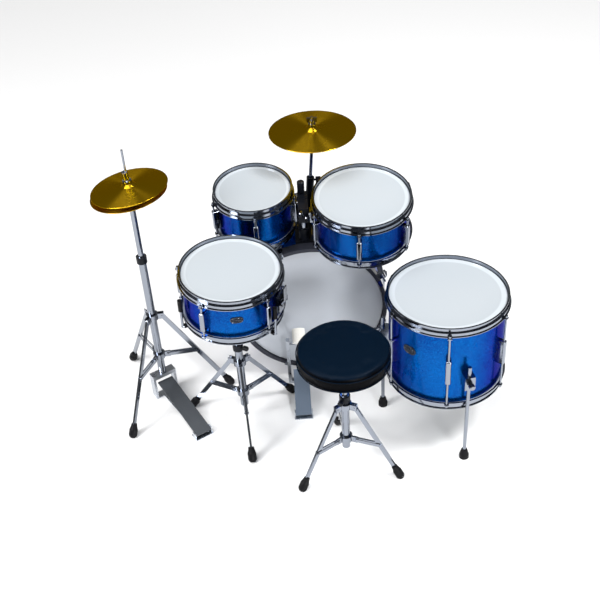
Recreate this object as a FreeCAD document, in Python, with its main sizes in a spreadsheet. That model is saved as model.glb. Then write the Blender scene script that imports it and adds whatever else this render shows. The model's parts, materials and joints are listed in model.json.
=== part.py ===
"""Junior five-piece acoustic drum kit with hi-hat, crash, bass pedal and throne.

Units are millimetres, +Z is up, the floor is z = 0 and the drummer sits on the -Y side.
Each drum is drawn about its own axis with the batter rim at z = 0 and is then placed.
"""
import FreeCAD, Part
import Sketcher
import math
import os

doc = FreeCAD.newDocument("DrumKit")
sheet = doc.addObject("Spreadsheet::Sheet", "Sizes")
V = FreeCAD.Vector
Z_AXIS = V(0, 0, 1)
nodes = {}


class Dim:
    """A size kept as a number together with the spreadsheet formula that gives it."""

    def __init__(self, value, formula):
        self.value = value
        self.formula = formula

    def __add__(self, other):
        return Dim(self.value + num(other), "(%s + %s)" % (self.formula, text(other)))

    def __sub__(self, other):
        return Dim(self.value - num(other), "(%s - %s)" % (self.formula, text(other)))

    def __mul__(self, other):
        return Dim(self.value * num(other), "(%s * %s)" % (self.formula, text(other)))

    def __truediv__(self, other):
        return Dim(self.value / num(other), "(%s / %s)" % (self.formula, text(other)))

    def __rsub__(self, other):
        return Dim(num(other) - self.value, "(%s - %s)" % (text(other), self.formula))

    def __neg__(self):
        return Dim(-self.value, "(0 - %s)" % self.formula)

    __radd__ = __add__
    __rmul__ = __mul__


def num(size):
    """The plain number of a size."""
    return size.value if isinstance(size, Dim) else float(size)


def text(size):
    """The formula of a size."""
    return size.formula if isinstance(size, Dim) else "(%.6f)" % size


def cell(alias, value, note):
    """Write one driving size into the spreadsheet and hand it back."""
    cell.row += 1
    sheet.set("A%d" % cell.row, alias)
    sheet.set("B%d" % cell.row, str(value))
    sheet.set("C%d" % cell.row, note)
    sheet.setAlias("B%d" % cell.row, alias)
    return Dim(float(value), "Sizes." + alias)


cell.row = 0

# ---------------------------------------------------------------- driving sizes
shift_x = cell("kit_shift_x", 31.6, "moves the kit so that its box is centred on the origin")
shift_y = cell("kit_shift_y", 85.5, "moves the kit so that its box is centred on the origin")
bass_dia = cell("bass_shell_diameter", 406, "16 inch bass drum shell")
bass_depth = cell("bass_shell_depth", 280, "11 inch deep bass drum shell")
bass_clear = cell("bass_ground_gap", 35, "floor to the lowest point of the bass drum hoops")
left_dia = cell("left_tom_diameter", 203, "8 inch tom shell")
right_dia = cell("right_tom_diameter", 254, "10 inch tom shell")
tom_depth = cell("tom_shell_depth", 127, "5 inch deep tom shells")
floor_dia = cell("floor_tom_diameter", 305, "12 inch floor tom shell")
floor_depth = cell("floor_tom_depth", 254, "10 inch deep floor tom shell")
floor_top = cell("floor_tom_height", 446, "floor to the top rim of the floor tom")
snare_dia = cell("snare_diameter", 254, "10 inch snare drum shell")
snare_depth = cell("snare_shell_depth", 127, "5 inch deep snare drum shell")
snare_top = cell("snare_height", 550, "floor to the top rim of the snare drum")
wall = cell("shell_wall", 5, "drum shell wall")
rise = cell("rim_rise", 9, "rim above the drum head")
film = cell("head_film", 0.5, "drum head film")
sheet_t = cell("hoop_sheet", 1.6, "pressed steel hoop sheet")
hoop_deep = cell("hoop_height", 25, "height of a pressed steel hoop")
wood_hoop = cell("bass_hoop_height", 34, "height of a bass drum hoop")
rod_r = cell("tension_rod_radius", 2.75, "tension rod")
seat_dia = cell("throne_seat_diameter", 240, "throne cushion")
seat_thick = cell("throne_seat_thickness", 50, "throne cushion")
seat_top = cell("throne_seat_height", 416, "floor to the top of the throne cushion")
tube_r = cell("stand_tube_radius", 11, "outside radius of a stand's lower tube")
post_r = cell("stand_post_radius", 8, "outside radius of a stand's sliding post")
fit = cell("running_clearance", 0.05, "radial clearance of a sliding or turning fit")
gap = cell("free_gap", 0.4, "air between pieces that move past each other")
leg_w = cell("stand_leg_width", 12, "width of a flat stand leg")
leg_t = cell("stand_leg_thickness", 6, "thickness of a flat stand leg")
brace_t = cell("stand_brace_thickness", 2, "thickness of a brace strip")
hat_dia = cell("hihat_cymbal_diameter", 203, "8 inch hi-hat cymbals")
hat_height = cell("hihat_cymbal_height", 707, "floor to the meeting line of the hi-hat cymbals")
crash_dia = cell("crash_cymbal_diameter", 240, "crash cymbal")
crash_stem = cell("crash_stem_height", 288, "top of the bass drum shell to the crash cymbal's hole")
cymbal_t = cell("cymbal_thickness", 1.2, "cymbal sheet")
doc.recompute()


# ---------------------------------------------------------------- small helpers
def turn(axis, degrees):
    """A rotation about x, y or z."""
    return FreeCAD.Rotation({"x": V(1, 0, 0), "y": V(0, 1, 0), "z": Z_AXIS}[axis], degrees)


def lean(x, y):
    """The rotation that carries +Z onto the direction (x, y, 1)."""
    return FreeCAD.Rotation(Z_AXIS, V(x, y, 1))


def bind(obj, name, size):
    """Tie one property of an object to its formula, or set it when it is a plain number."""
    if isinstance(size, Dim):
        obj.setExpression(name, size.formula)
    else:
        setattr(obj, name, size)


def place(obj, x=0, y=0, z=0, rotation=None):
    """Place an object, each coordinate tied to its formula."""
    rotation = rotation or FreeCAD.Rotation()
    obj.Placement = FreeCAD.Placement(V(num(x), num(y), num(z)), rotation)
    for axis, size in zip("xyz", (x, y, z)):
        if isinstance(size, Dim):
            obj.setExpression("Placement.Base." + axis, size.formula)
    return obj


def new(kind, label):
    """A new document object with its label."""
    obj = doc.addObject(kind, label)
    obj.Label = label
    return obj


def rod(label, radius, length):
    """A round bar standing on the origin."""
    obj = new("Part::Cylinder", label)
    bind(obj, "Radius", radius)
    bind(obj, "Height", length)
    return obj


def block(label, x, y, z, dx, dy, dz):
    """A box centred on x and y and standing on z."""
    obj = new("Part::Box", label)
    bind(obj, "Length", dx)
    bind(obj, "Width", dy)
    bind(obj, "Height", dz)
    return place(obj, x - dx / 2, y - dy / 2, z)


def fuse(label, parts):
    """Parts joined into one solid."""
    obj = new("Part::MultiFuse", label)
    obj.Shapes = parts
    return obj


def cut(label, base, tools):
    """A part with other parts taken away from it."""
    tool = tools[0]
    if len(tools) > 1:
        tool = fuse(label + "_tools", tools)
    obj = new("Part::Cut", label)
    obj.Base = base
    obj.Tool = tool
    return obj


def rounded(label, base, radius):
    """A part with all its straight edges rounded."""
    doc.recompute()
    obj = new("Part::Fillet", label)
    obj.Base = base
    obj.Edges = [(i + 1, radius, radius) for i in range(len(base.Shape.Edges))]
    return obj


def copy(part, x=0, y=0, z=0, rotation=None):
    """A second use of a part at a further placement."""
    obj = new("App::Link", part.Label + "_copy")
    obj.LinkedObject = part
    obj.LinkTransform = True
    return place(obj, x, y, z, rotation)


def group(label, parts):
    """Loose parts kept together."""
    obj = new("Part::Compound", label)
    obj.Links = parts
    return obj


def around(part, count, first=0.0):
    """Copies of a part spread evenly about the z axis."""
    return [copy(part, rotation=turn("z", first + 360.0 * i / count)) for i in range(count)]


def node(name, part, x=0, y=0, z=0, rotation=None):
    """File one finished sub-part under its name and place it in the kit."""
    part.Label = name
    place(part, shift_x + x, shift_y + y, z, rotation)
    nodes[name] = part
    return part


def body_plane(body, role):
    """One of a body's own origin planes."""
    return [o for o in body.Origin.OriginFeatures if o.Role == role][0]


def outline(body, role, points, arcs=None):
    """A closed, fully held outline on one of a body's origin planes.

    points are (x, y) corners in order. arcs gives {corner index: radius} for the stretches that
    are arcs to the next corner: a positive radius bulges to the right of the way of travel.
    """
    arcs = arcs or {}
    sketch = body.newObject("Sketcher::SketchObject", body.Name + "_outline")
    sketch.AttachmentSupport = [(body_plane(body, role), "")]
    sketch.MapMode = "FlatFace"
    count = len(points)
    flat = [V(num(x), num(y), 0) for x, y in points]
    heads = []
    for i in range(count):
        start = flat[i]
        end = flat[(i + 1) % count]
        if i in arcs:
            radius = num(arcs[i])
            way = end - start
            side = V(-way.y, way.x, 0).normalize()
            reach = math.sqrt(max(radius * radius - way.Length * way.Length / 4, 0))
            centre = (start + end) * 0.5 + side * math.copysign(reach, radius)
            a = math.atan2(start.y - centre.y, start.x - centre.x)
            b = math.atan2(end.y - centre.y, end.x - centre.x)
            circle = Part.Circle(centre, Z_AXIS, abs(radius))
            forward = radius > 0
            sketch.addGeometry(Part.ArcOfCircle(circle, a if forward else b, b if forward else a), False)
            heads.append(1 if forward else 2)
        else:
            sketch.addGeometry(Part.LineSegment(start, end), False)
            heads.append(1)
    for i in range(count):
        j = (i + 1) % count
        sketch.addConstraint(Sketcher.Constraint("Coincident", i, 3 - heads[i], j, heads[j]))
    for i, (x, y) in enumerate(points):
        for kind, size, axis in (("DistanceX", x, -2), ("DistanceY", y, -1)):
            if abs(num(size)) < 1e-9:
                sketch.addConstraint(Sketcher.Constraint("PointOnObject", i, heads[i], axis))
                continue
            k = sketch.addConstraint(Sketcher.Constraint(kind, -1, 1, i, heads[i], num(size)))
            if isinstance(size, Dim):
                sketch.setExpression("Constraints[%d]" % k, size.formula)
    for i, radius in arcs.items():
        k = sketch.addConstraint(Sketcher.Constraint("Radius", i, abs(num(radius))))
        if isinstance(radius, Dim):
            sign = radius if num(radius) > 0 else -radius
            sketch.setExpression("Constraints[%d]" % k, sign.formula)
    return sketch


def turned(label, points, arcs=None):
    """A body of revolution about z; points are (radius, z) corners."""
    body = new("PartDesign::Body", label)
    sketch = outline(body, "XZ_Plane", points, arcs)
    solid = body.newObject("PartDesign::Revolution", label + "_turn")
    solid.Profile = sketch
    solid.ReferenceAxis = (sketch, ["V_Axis"])
    solid.Angle = 360
    sketch.Visibility = False
    body.Tip = solid
    return body


def tube(label, outer, inner, low, high):
    """A pipe about z from one height to another."""
    return turned(label, [(inner, low), (outer, low), (outer, high), (inner, high)])


# ---------------------------------------------------------------- drums
def head(label, radius):
    """A drum head: flat film, short collar and the ring that the hoop presses on."""
    low = -rise - 11
    ring = -rise - 6
    return turned(label, [
        (0, -rise - film), (radius + 0.5, -rise - film), (radius + 0.5, low), (radius + 6, low),
        (radius + 6, ring), (radius + 1, ring), (radius + 1, -rise), (0, -rise)])


def steel_hoop(label, radius, lugs):
    """A pressed steel hoop with three flanges and one drilled ear for each tension rod."""
    step = -rise - 6
    wall_in = radius + 1.8
    skirt = radius + 6.5
    body = turned(label, [
        (wall_in, step), (skirt, step), (skirt, -hoop_deep), (radius + 11, -hoop_deep),
        (radius + 11, -hoop_deep + sheet_t), (skirt + sheet_t, -hoop_deep + sheet_t),
        (skirt + sheet_t, step + sheet_t), (wall_in + sheet_t, step + sheet_t),
        (wall_in + sheet_t, -sheet_t), (skirt, -sheet_t), (skirt, 0), (wall_in, 0)])
    half = 6.0
    ear = outline(body, "XY_Plane", [
        (radius + 9, -half), (radius + 18.5, -half), (radius + 18.5, half), (radius + 9, half)])
    ear.setExpression("AttachmentOffset.Base.z", (-hoop_deep).formula)
    pad = body.newObject("PartDesign::Pad", label + "_ear")
    pad.Profile = ear
    bind(pad, "Length", sheet_t)
    ears = body.newObject("PartDesign::PolarPattern", label + "_ears")
    ears.Originals = [pad]
    ears.Axis = (ear, ["N_Axis"])
    ears.Angle = 360
    ears.Occurrences = lugs
    body.Tip = ears
    drill = body.newObject("Sketcher::SketchObject", label + "_drill")
    drill.AttachmentSupport = [(body_plane(body, "XY_Plane"), "")]
    drill.MapMode = "FlatFace"
    drill.addGeometry(Part.Circle(V(num(radius) + 14, 0, 0), Z_AXIS, num(rod_r) + 0.3), False)
    drill.addConstraint(Sketcher.Constraint("PointOnObject", 0, 3, -1))
    far = drill.addConstraint(Sketcher.Constraint("DistanceX", -1, 1, 0, 3, num(radius) + 14))
    drill.setExpression("Constraints[%d]" % far, (radius + 14).formula)
    wide = drill.addConstraint(Sketcher.Constraint("Radius", 0, num(rod_r) + 0.3))
    drill.setExpression("Constraints[%d]" % wide, (rod_r + 0.3).formula)
    hole = body.newObject("PartDesign::Pocket", label + "_hole")
    hole.Profile = drill
    hole.Type = "ThroughAll"
    hole.Midplane = True
    holes = body.newObject("PartDesign::PolarPattern", label + "_holes")
    holes.Originals = [hole]
    holes.Axis = (drill, ["N_Axis"])
    holes.Angle = 360
    holes.Occurrences = lugs
    body.Tip = holes
    return body


def bass_hoop(label, radius):
    """A deep rabbeted hoop that covers the head's ring."""
    step = -rise - 6
    edge = 1.5
    return turned(label, [
        (radius + 1.8, step), (radius + 7, step), (radius + 7, -wood_hoop), (radius + 12 - edge, -wood_hoop),
        (radius + 12, -wood_hoop + edge), (radius + 12, -edge), (radius + 12 - edge, 0), (radius + 1.8, 0)])


def shell(label, radius, high, low):
    """A drum shell with bevelled bearing edges."""
    inner = radius - wall
    lip = 1.2
    return turned(label, [
        (inner, low + wall), (radius - lip, low), (radius, low + lip),
        (radius, high - lip), (radius - lip, high), (inner, high - wall)])


def tension_rod(label, length):
    """A tension rod with washer and square-drive head; z = 0 is the face it presses on."""
    return turned(label, [
        (0, -length), (rod_r, -length), (rod_r, 0), (5.5, 0), (5.5, 1.6), (3.6, 1.6), (3.6, 8), (0, 8)])


def flipped(part, length):
    """The same part used from the other end of a drum of the given length."""
    return copy(part, 0, 0, -length, turn("x", 180))


def drum(name, diameter, depth, lugs, first, lug_long, x, y, z, rotation, bass=False, extra=None):
    """One drum: shell, two hoops, two heads and the ring of lugs with their rods."""
    radius = diameter / 2
    total = depth + (rise + film) * 2
    edge = -rise - film
    part = shell(name + "_tube", radius, edge, edge - depth)
    holder = group(name + "_shell", [part])
    node(name + "_shell", holder, x, y, z, rotation)
    skin = head(name + "_skin", radius)
    node(name + "_heads", group(name + "_heads", [skin, flipped(skin, total)]), x, y, z, rotation)
    if bass:
        hoop = bass_hoop(name + "_hoop", radius)
        offset = radius + 20.5
        seat = -wood_hoop + 4
        claw = claw_hook(name + "_claw", radius)
    else:
        hoop = steel_hoop(name + "_hoop", radius, lugs)
        offset = radius + 14
        seat = -hoop_deep + sheet_t
    pair = group(name + "_hoop_pair", [hoop, flipped(hoop, total)])
    spun = copy(pair, rotation=turn("z", first))
    node(name + "_hoops", group(name + "_hoops", [spun]), x, y, z, rotation)
    deep = offset - radius + 9
    casing = rounded(name + "_casing_round", block(
        name + "_casing", radius - 3 + deep / 2, 0, -(total + lug_long) / 2, deep, 14, lug_long), 4)
    bore = place(rod(name + "_bore", rod_r + fit, total), offset, 0, -total)
    lug = cut(name + "_lug", casing, [place(rod(name + "_round", radius, total), 0, 0, -total), bore])
    reach = (total - lug_long) / 2 + seat + lug_long / 4
    bolt = place(tension_rod(name + "_rod", reach), offset, 0, seat)
    if bass:
        tee = place(rod(name + "_tee", 2.6, 28), offset, 14, seat + 9, turn("x", 90))
        bolt = fuse(name + "_tee_rod", [bolt, tee])
    pieces = [lug, bolt, flipped(bolt, total)]
    if bass:
        pieces += [claw, flipped(claw, total)]
    unit = group(name + "_lug_unit", pieces)
    metal = around(unit, lugs, first) + (extra or [])
    node(name + "_hardware", group(name + "_hardware", metal), x, y, z, rotation)
    return total


def claw_hook(label, radius):
    """A claw that hooks over the bass hoop's front edge and is pulled back by its rod."""
    out = radius + 12
    low = -wood_hoop - 6
    plate = block(label + "_plate", out + 1.1, 0, low, 2.2, 20, 2 - low)
    lip = block(label + "_lip", out - 3, 0, 0, 10.5, 20, 2)
    boss = block(label + "_boss", radius + 20, 0, low, 13, 16, 10)
    hook = fuse(label + "_hook", [plate, lip, boss])
    bore = place(rod(label + "_bore", rod_r + 0.3, 40), radius + 20.5, 0, low - 10)
    return cut(label, hook, [bore])


def bulk(label, radius, total, x, y, z, rotation):
    """A drum's outside cylinder in place, used to shape what is fixed against its shell."""
    inner = place(rod(label + "_core", radius, total), 0, 0, -total)
    return place(group(label, [inner]), x, y, z, rotation)


# ---------------------------------------------------------------- stands
def strip(label, length, width, thick, hole):
    """A flat link along +X with rounded, drilled ends; its thickness runs along y."""
    flat = block(label + "_flat", length / 2, 0, -width / 2, length, thick, width)
    ends = []
    holes = []
    for i, at in enumerate((0, length)):
        ends.append(place(rod(label + "_end%d" % i, width / 2, thick), at, thick / 2, 0, turn("x", 90)))
        holes.append(place(rod(label + "_hole%d" % i, hole, thick + 2), at, thick / 2 + 1, 0, turn("x", 90)))
    return cut(label, fuse(label + "_bar", [flat] + ends), holes)


def pin(label, x, z, radius, length):
    """A cross pin along y."""
    return place(rod(label, radius, length), x, length / 2, z, turn("x", 90))


def tripod(name, x, y, high, low, foot_r, first, brace_at):
    """Three flat legs hinged on an upper collar, braced from a lower collar, with rubber boots."""
    pin_r = 2.4
    pivot = tube_r + 16
    ear_out = pivot + 6
    ankle = 10.0
    drop = high - ankle
    run = foot_r - pivot
    slope = math.degrees(math.atan2(num(drop), num(run)))
    long = Dim(math.hypot(num(drop), num(run)), "sqrt(%s ^ 2 + %s ^ 2)" % (text(drop), text(run)))
    along = V(math.cos(math.radians(slope)), 0, -math.sin(math.radians(slope)))
    leg = place(strip(name + "_leg", long, leg_w, leg_t, pin_r + 0.05), pivot, 0, high, turn("y", slope))
    joint_x = num(pivot) + along.x * num(long) * brace_at
    joint_z = num(high) + along.z * num(long) * brace_at
    brace_run = math.hypot(joint_x - num(pivot), joint_z - num(low))
    brace_slope = -math.degrees(math.atan2(joint_z - num(low), joint_x - num(pivot)))
    brace = strip(name + "_brace", brace_run, 10, brace_t, pin_r + 0.05)
    aside = leg_t / 2 + 0.15 + brace_t / 2
    braces = [copy(brace, pivot, side * aside, low, turn("y", brace_slope)) for side in (1, -1)]
    rivet_long = leg_t + brace_t * 2 + 3
    drill = pin(name + "_drill", joint_x, joint_z, pin_r + 0.05, 30)
    leg = cut(name + "_leg_drilled", leg, [drill])
    rivets = [pin(name + "_rivet_low", pivot, low, pin_r, rivet_long),
              pin(name + "_rivet_mid", joint_x, joint_z, pin_r, rivet_long)]
    upper_pin = pin(name + "_rivet_top", pivot, high, pin_r, leg_t + 8)
    tall = 18.0
    ring = tube(name + "_collar_ring", tube_r + 6, tube_r, -tall / 2, tall / 2)
    bite = place(rod(name + "_collar_bite", tube_r, tall * 2), 0, 0, -tall)
    fork = [block(name + "_fork%d" % i, (tube_r + ear_out) / 2, side * (leg_t / 2 + 1.65), -tall / 2,
                  ear_out - tube_r, 3, tall) for i, side in enumerate((1, -1))]
    fork_unit = group(name + "_fork_unit", fork)
    high_bits = around(fork_unit, 3, first)
    upper = cut(name + "_upper_ring", fuse(name + "_upper_sum", [ring] + high_bits),
                [bite] + around(pin(name + "_upper_drill", pivot, 0, pin_r + 0.05, 30), 3, first))
    tongue = block(name + "_tongue", (tube_r + ear_out) / 2, 0, -tall / 2, ear_out - tube_r, leg_t, tall)
    lower = cut(name + "_lower_ring",
                fuse(name + "_lower_sum", [copy(ring)] + around(tongue, 3, first)),
                [copy(bite)] + around(pin(name + "_lower_drill", pivot, 0, pin_r + 0.05, 30), 3, first))
    arm = group(name + "_arm", [leg, upper_pin])
    stay = group(name + "_stay", braces + rivets)
    node(name + "_legs", group(name + "_legs", around(arm, 3, first) + around(stay, 3, first)), x, y)
    boot = turned(name + "_boot_solid", [(0, -23), (8, -23), (12, -6), (12, 10), (8, 18), (0, 18)],
                  {1: -60, 3: 14})
    place(boot, foot_r - along.x * 8, 0, ankle - along.z * 8, turn("y", 90 + slope))
    below = block(name + "_floor", foot_r, 0, -60, 200, 200, 60)
    slot = block(name + "_slot_bar", long / 2, 0, -leg_w / 2, long + leg_w, leg_t, leg_w)
    slot = place(group(name + "_slot", [slot]), pivot, 0, high, turn("y", slope))
    boot = cut(name + "_boot", boot, [below, slot])
    node(name + "_feet", group(name + "_feet", around(boot, 3, first)), x, y)
    return [copy(upper, 0, 0, high), copy(lower, 0, 0, low)]


def knob(label, x, y, z, rotation, radius, length):
    """A round clamping knob on a short screw."""
    part = turned(label, [(0, 0), (3, 0), (3, 5), (radius, 5), (radius, length - 2), (radius - 2, length),
                          (0, length)])
    return place(part, x, y, z, rotation)


def cymbal(label, diameter, hole, bell_r, bell_h, bow_h):
    """A thin spun cymbal, hole at z = 0 and edge below: bell arc, then bow arc."""
    radius = diameter / 2
    span = radius - bell_r
    bell = (bell_r ** 2 + bell_h ** 2) / (2 * bell_h)
    bow = (num(radius) ** 2 + bow_h ** 2) / (2 * bow_h)
    top = 0.0
    crown = -bell_h
    low = crown - bow_h
    return turned(label, [
        (hole, top - cymbal_t), (bell_r, crown - cymbal_t), (radius, low - cymbal_t), (radius, low),
        (bell_r + 0.6, crown), (hole, top)], {0: -bell * 1.3, 1: -bow, 3: bow, 4: bell * 1.3})


# ---------------------------------------------------------------- bass drum
bass_r = bass_dia / 2
bass_z = bass_clear + bass_r + 12
bass_turn = turn("x", 90)
bass_total = drum("bass_drum", bass_dia, bass_depth, 8, 22.5, 60, 0, 0, bass_z, bass_turn, bass=True)
bass_core = bulk("bass_core", bass_r, bass_total, 0, 0, bass_z, bass_turn)
hoop_core = bulk("bass_hoop_core", bass_r + 12, bass_total, 0, 0, bass_z, bass_turn)

# Spurs: a rod that swings on a stub fixed to each side of the shell.
spur_y = bass_total - 85
spur_r = 5.0
spur_long = 194.0
swing = math.asin(40.0 / 203.0)
spur_pivot_z = (spur_long + 14) * math.cos(swing) + 6 * math.sin(swing)
for name, side in (("bass_spur_left", -1), ("bass_spur_right", 1)):
    plane = (bass_r + 24) * side
    eye = place(rod(name + "_eye", 13, 12), -6, 0, 0, turn("y", 90))
    shank = place(rod(name + "_shank", spur_r, spur_long), 0, 0, 0, turn("x", 180 + math.degrees(swing)))
    tip = turned(name + "_tip", [(0, -14), (6, -14), (9, -6), (9, 14), (0, 14)])
    place(tip, 0, math.sin(swing) * spur_long, -math.cos(swing) * spur_long, turn("x", math.degrees(swing)))
    bore = place(rod(name + "_bore", 5 + fit, 40), -20, 0, 0, turn("y", 90))
    arm = cut(name + "_arm", fuse(name + "_sum", [eye, shank, tip]), [bore])
    node(name, group(name, [arm]), plane, spur_y, spur_pivot_z)
stubs = []
for i, side in enumerate((-1, 1)):
    stub_in = block("spur_boss%d" % i, (bass_r + 2) * side, spur_y, spur_pivot_z - 18, 30, 40, 36)
    stub = place(rod("spur_stub%d" % i, 5, 44), (bass_r + 10) * side - 22, spur_y, spur_pivot_z, turn("y", 90))
    cap = place(rod("spur_cap%d" % i, 9, 4), (bass_r + 32.5) * side - 2, spur_y, spur_pivot_z, turn("y", 90))
    stubs.append(cut("spur_mount%d" % i, fuse("spur_joined%d" % i, [stub_in, stub, cap]), [copy(bass_core)]))

# ---------------------------------------------------------------- tom mount
post_x = -9.0
post_y = 57.0
bass_top = bass_z + bass_r
arm_z = bass_top + tom_depth - 20
saddle_top = bass_top + 13
crash_height = bass_top + crash_stem
crash_lean = 0.087
crash_x = 33.0
crash_y = 190.0
crash_foot = saddle_top + 2
crash_foot_x = crash_x - crash_lean * (crash_height - crash_foot)
saddle = block("saddle", 4, 126, saddle_top - 36, 78, 180, 36)
saddle = cut("saddle_shaped", saddle, [copy(bass_core)])
socket = place(tube("post_socket", 15, 9.5, 0, 34), post_x, post_y, saddle_top)
crash_rod_r = 5.0
sleeve = place(tube("crash_sleeve", 11, crash_rod_r + fit, 0, 112), crash_foot_x, crash_y, crash_foot,
               lean(crash_lean, 0))
sleeve_pad = block("crash_pad", crash_foot_x, crash_y, saddle_top, 30, 30, 5)
sleeve_hole = place(rod("crash_pad_hole", crash_rod_r + 0.3, 30), crash_foot_x - crash_lean * 8, crash_y,
                    crash_foot - 8, lean(crash_lean, 0))
sleeve_all = cut("crash_socket", fuse("crash_socket_sum", [sleeve, sleeve_pad]), [
    sleeve_hole, place(rod("crash_bore", crash_rod_r + fit, 130), crash_foot_x, crash_y, crash_foot,
                       lean(crash_lean, 0))])
head_block = block("mount_head", post_x + 0.5, 56, arm_z - 15, 27, 92, 44)
keys = [knob("sleeve_key", crash_foot_x + crash_lean * 102 + 10, crash_y, crash_foot + 102, turn("y", 90), 9, 20),
        knob("socket_key", post_x, post_y + 15, saddle_top + 20, turn("x", -90), 8, 18),
        knob("head_key", post_x - 4, 102, arm_z + 4, turn("x", -90), 11, 20),
        knob("head_key_top", post_x - 2, 92, arm_z + 29, None, 10, 38)]

left_x = -(left_dia / 2 + 39.5)
left_y = 80.0
left_top = bass_top + tom_depth + 47
left_lean = -0.114
right_x = right_dia / 2 + 22
right_y = 17.0
right_top = bass_top + tom_depth + 39
right_lean = -0.139
arm_r = 6.0


def tom_bracket(label, radius, side, drop, total):
    """The tom's sleeve that turns on the mount's arm; its bore runs along x."""
    body = block(label + "_block", (radius + 4.5) * side, 0, -drop - 17, 19, 24, 34)
    bore = place(rod(label + "_bore", arm_r + fit, 60), radius * side - 30, 0, -drop, turn("y", 90))
    core = place(rod(label + "_core", radius, total), 0, 0, -total)
    return cut(label, body, [core, bore])


arms = []
for name, dia, x, y, top, tip_y, side, lugs, first in (
        ("left_tom", left_dia, left_x, left_y, left_top, left_lean, 1, 5, -88.0),
        ("right_tom", right_dia, right_x, right_y, right_top, right_lean, -1, 6, -98.0)):
    spin = lean(0, tip_y)
    fall = spin.multVec(V(0, 0, -1))
    drop = (arm_z - top) / fall.z
    total = tom_depth + (rise + film) * 2
    bracket = tom_bracket(name + "_bracket", dia / 2, side, drop, total)
    drum(name, dia, tom_depth, lugs, first, 62, x, y, top, spin, extra=[bracket])
    arm_y = y + fall.y * drop
    reach = (-x if side > 0 else x) - dia / 2 - 2 - (22 if side > 0 else 5)
    start = post_x - 13 if side > 0 else post_x + 14
    bar = rod(name + "_arm", arm_r, reach)
    arms.append(place(bar, start, arm_y, arm_z, turn("y", -90 * side)))
post = place(rod("mount_post", 9.5, arm_z - 15 - saddle_top), post_x, post_y, saddle_top)
bolts = [knob("arm_bolt0", post_x - 6, 10, arm_z + 21, turn("x", 90), 7, 17),
         knob("arm_bolt1", post_x + 9, 10, arm_z + 6, turn("x", 90), 7, 17)]
mount_bits = [saddle, fuse("sleeve_with_key", [sleeve_all, keys[0]]), fuse("socket_with_key", [socket, keys[1]]),
              fuse("head_with_keys", [head_block, keys[2], keys[3]])]
node("tom_mount", group("tom_mount", mount_bits))
node("tom_mount_post", group("tom_mount_post", [post] + arms + bolts + stubs))

# ---------------------------------------------------------------- crash cymbal
crash_turn = lean(crash_lean, 0)
crash_run = crash_height - crash_foot
knee = crash_height - 26
knee_x = crash_x - crash_lean * 26
stem = place(rod("crash_stem", crash_rod_r, crash_run - 36), knee_x - crash_lean * (crash_run - 26), crash_y,
             crash_foot, crash_turn)
knuckle = place(rod("crash_knuckle", 9, 5), knee_x + 5.5, crash_y, knee, turn("y", 90))
knuckle2 = place(rod("crash_knuckle2", 9, 5), knee_x - 10.5, crash_y, knee, turn("y", 90))
knuckle_base = block("crash_knuckle_base", knee_x, crash_y, knee - 16, 21, 12, 6)
knuckle_bolt = place(rod("crash_knuckle_bolt", 2.5, 24), knee_x - 12, crash_y, knee, turn("y", 90))
web = [block("crash_web%d" % i, knee_x + at, crash_y, knee - 12, 5, 12, 12) for i, at in enumerate((8, -8))]
node("crash_rod", group("crash_rod", [fuse("crash_rod_solid", [stem, knuckle, knuckle2, knuckle_base,
                                                               knuckle_bolt] + web)]))
hub = place(rod("tilter_hub", 8, 10), -5, 0, 0, turn("y", 90))
neck = block("tilter_neck", 0, 0, 4, 10, 10, 9)
stud = place(rod("tilter_stud", 3, 44), 0, 0, 8)
plate = place(rod("tilter_plate", 12, 3), 0, 0, 12)
felt_low = turned("tilter_felt_low", [(3, 15), (11, 15), (11, 18.5), (6, 22.9), (3, 22.9)])
wing = block("tilter_wing", 0, 0, 36, 28, 4, 13)
nut = cut("tilter_nut_drilled", fuse("tilter_nut_sum", [place(rod("tilter_nut", 7.5, 10), 0, 0, 32), wing]),
          [place(rod("tilter_nut_bore", 3.05, 40), 0, 0, 20)])
felt_high = place(tube("tilter_felt_high", 10, 3, 0, 4), 0, 0, 28)
hub_bore = place(rod("tilter_bore", 2.5 + fit, 30), -15, 0, 0, turn("y", 90))
steel = cut("tilter_steel", fuse("tilter_sum", [hub, neck, stud, plate]), [hub_bore])
node("crash_tilter", group("crash_tilter", [steel, felt_low, nut, felt_high]), knee_x, crash_y, knee)
disc = cymbal("crash_disc", crash_dia, 5, 22, 9, 7)
node("crash_cymbal", group("crash_cymbal", [disc]), knee_x, crash_y, knee + 23 + gap + cymbal_t)

# ---------------------------------------------------------------- floor tom
floor_x = floor_dia / 2 + 197.5
floor_y = -199.0
leg_ring = floor_dia / 2 + 19.5
leg_rod = 5.0
leg_first = -78.6
floor_total = floor_depth + (rise + film) * 2
floor_core = place(rod("floor_core", floor_dia / 2, floor_total), 0, 0, -floor_total)
cup = block("floor_cup", leg_ring - 8, 0, -190, 34, 28, 40)
cup_bore = place(rod("floor_cup_bore", leg_rod + fit, 80), leg_ring, 0, -210)
cup = cut("floor_leg_cup", cup, [floor_core, cup_bore])
cup_key = knob("floor_cup_key", leg_ring + 9, 0, -170, turn("y", 90), 8, 18)
cup_unit = group("floor_cup_unit", [cup, cup_key])
drum("floor_tom", floor_dia, floor_depth, 6, -97.0, 78, floor_x, floor_y, floor_top, None,
     extra=around(cup_unit, 3, leg_first))
leg = place(rod("floor_leg", leg_rod, 318), leg_ring, 0, 8)
foot = turned("floor_foot_solid", [(0, 0), (13, 0), (13, 12), (8, 30), (0, 30)])
place(foot, leg_ring, 0, 0)
foot = cut("floor_foot", foot, [copy(leg)])
node("floor_tom_legs", group("floor_tom_legs", around(leg, 3, leg_first)), floor_x, floor_y)
node("floor_tom_feet", group("floor_tom_feet", around(foot, 3, leg_first)), floor_x, floor_y)


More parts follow.
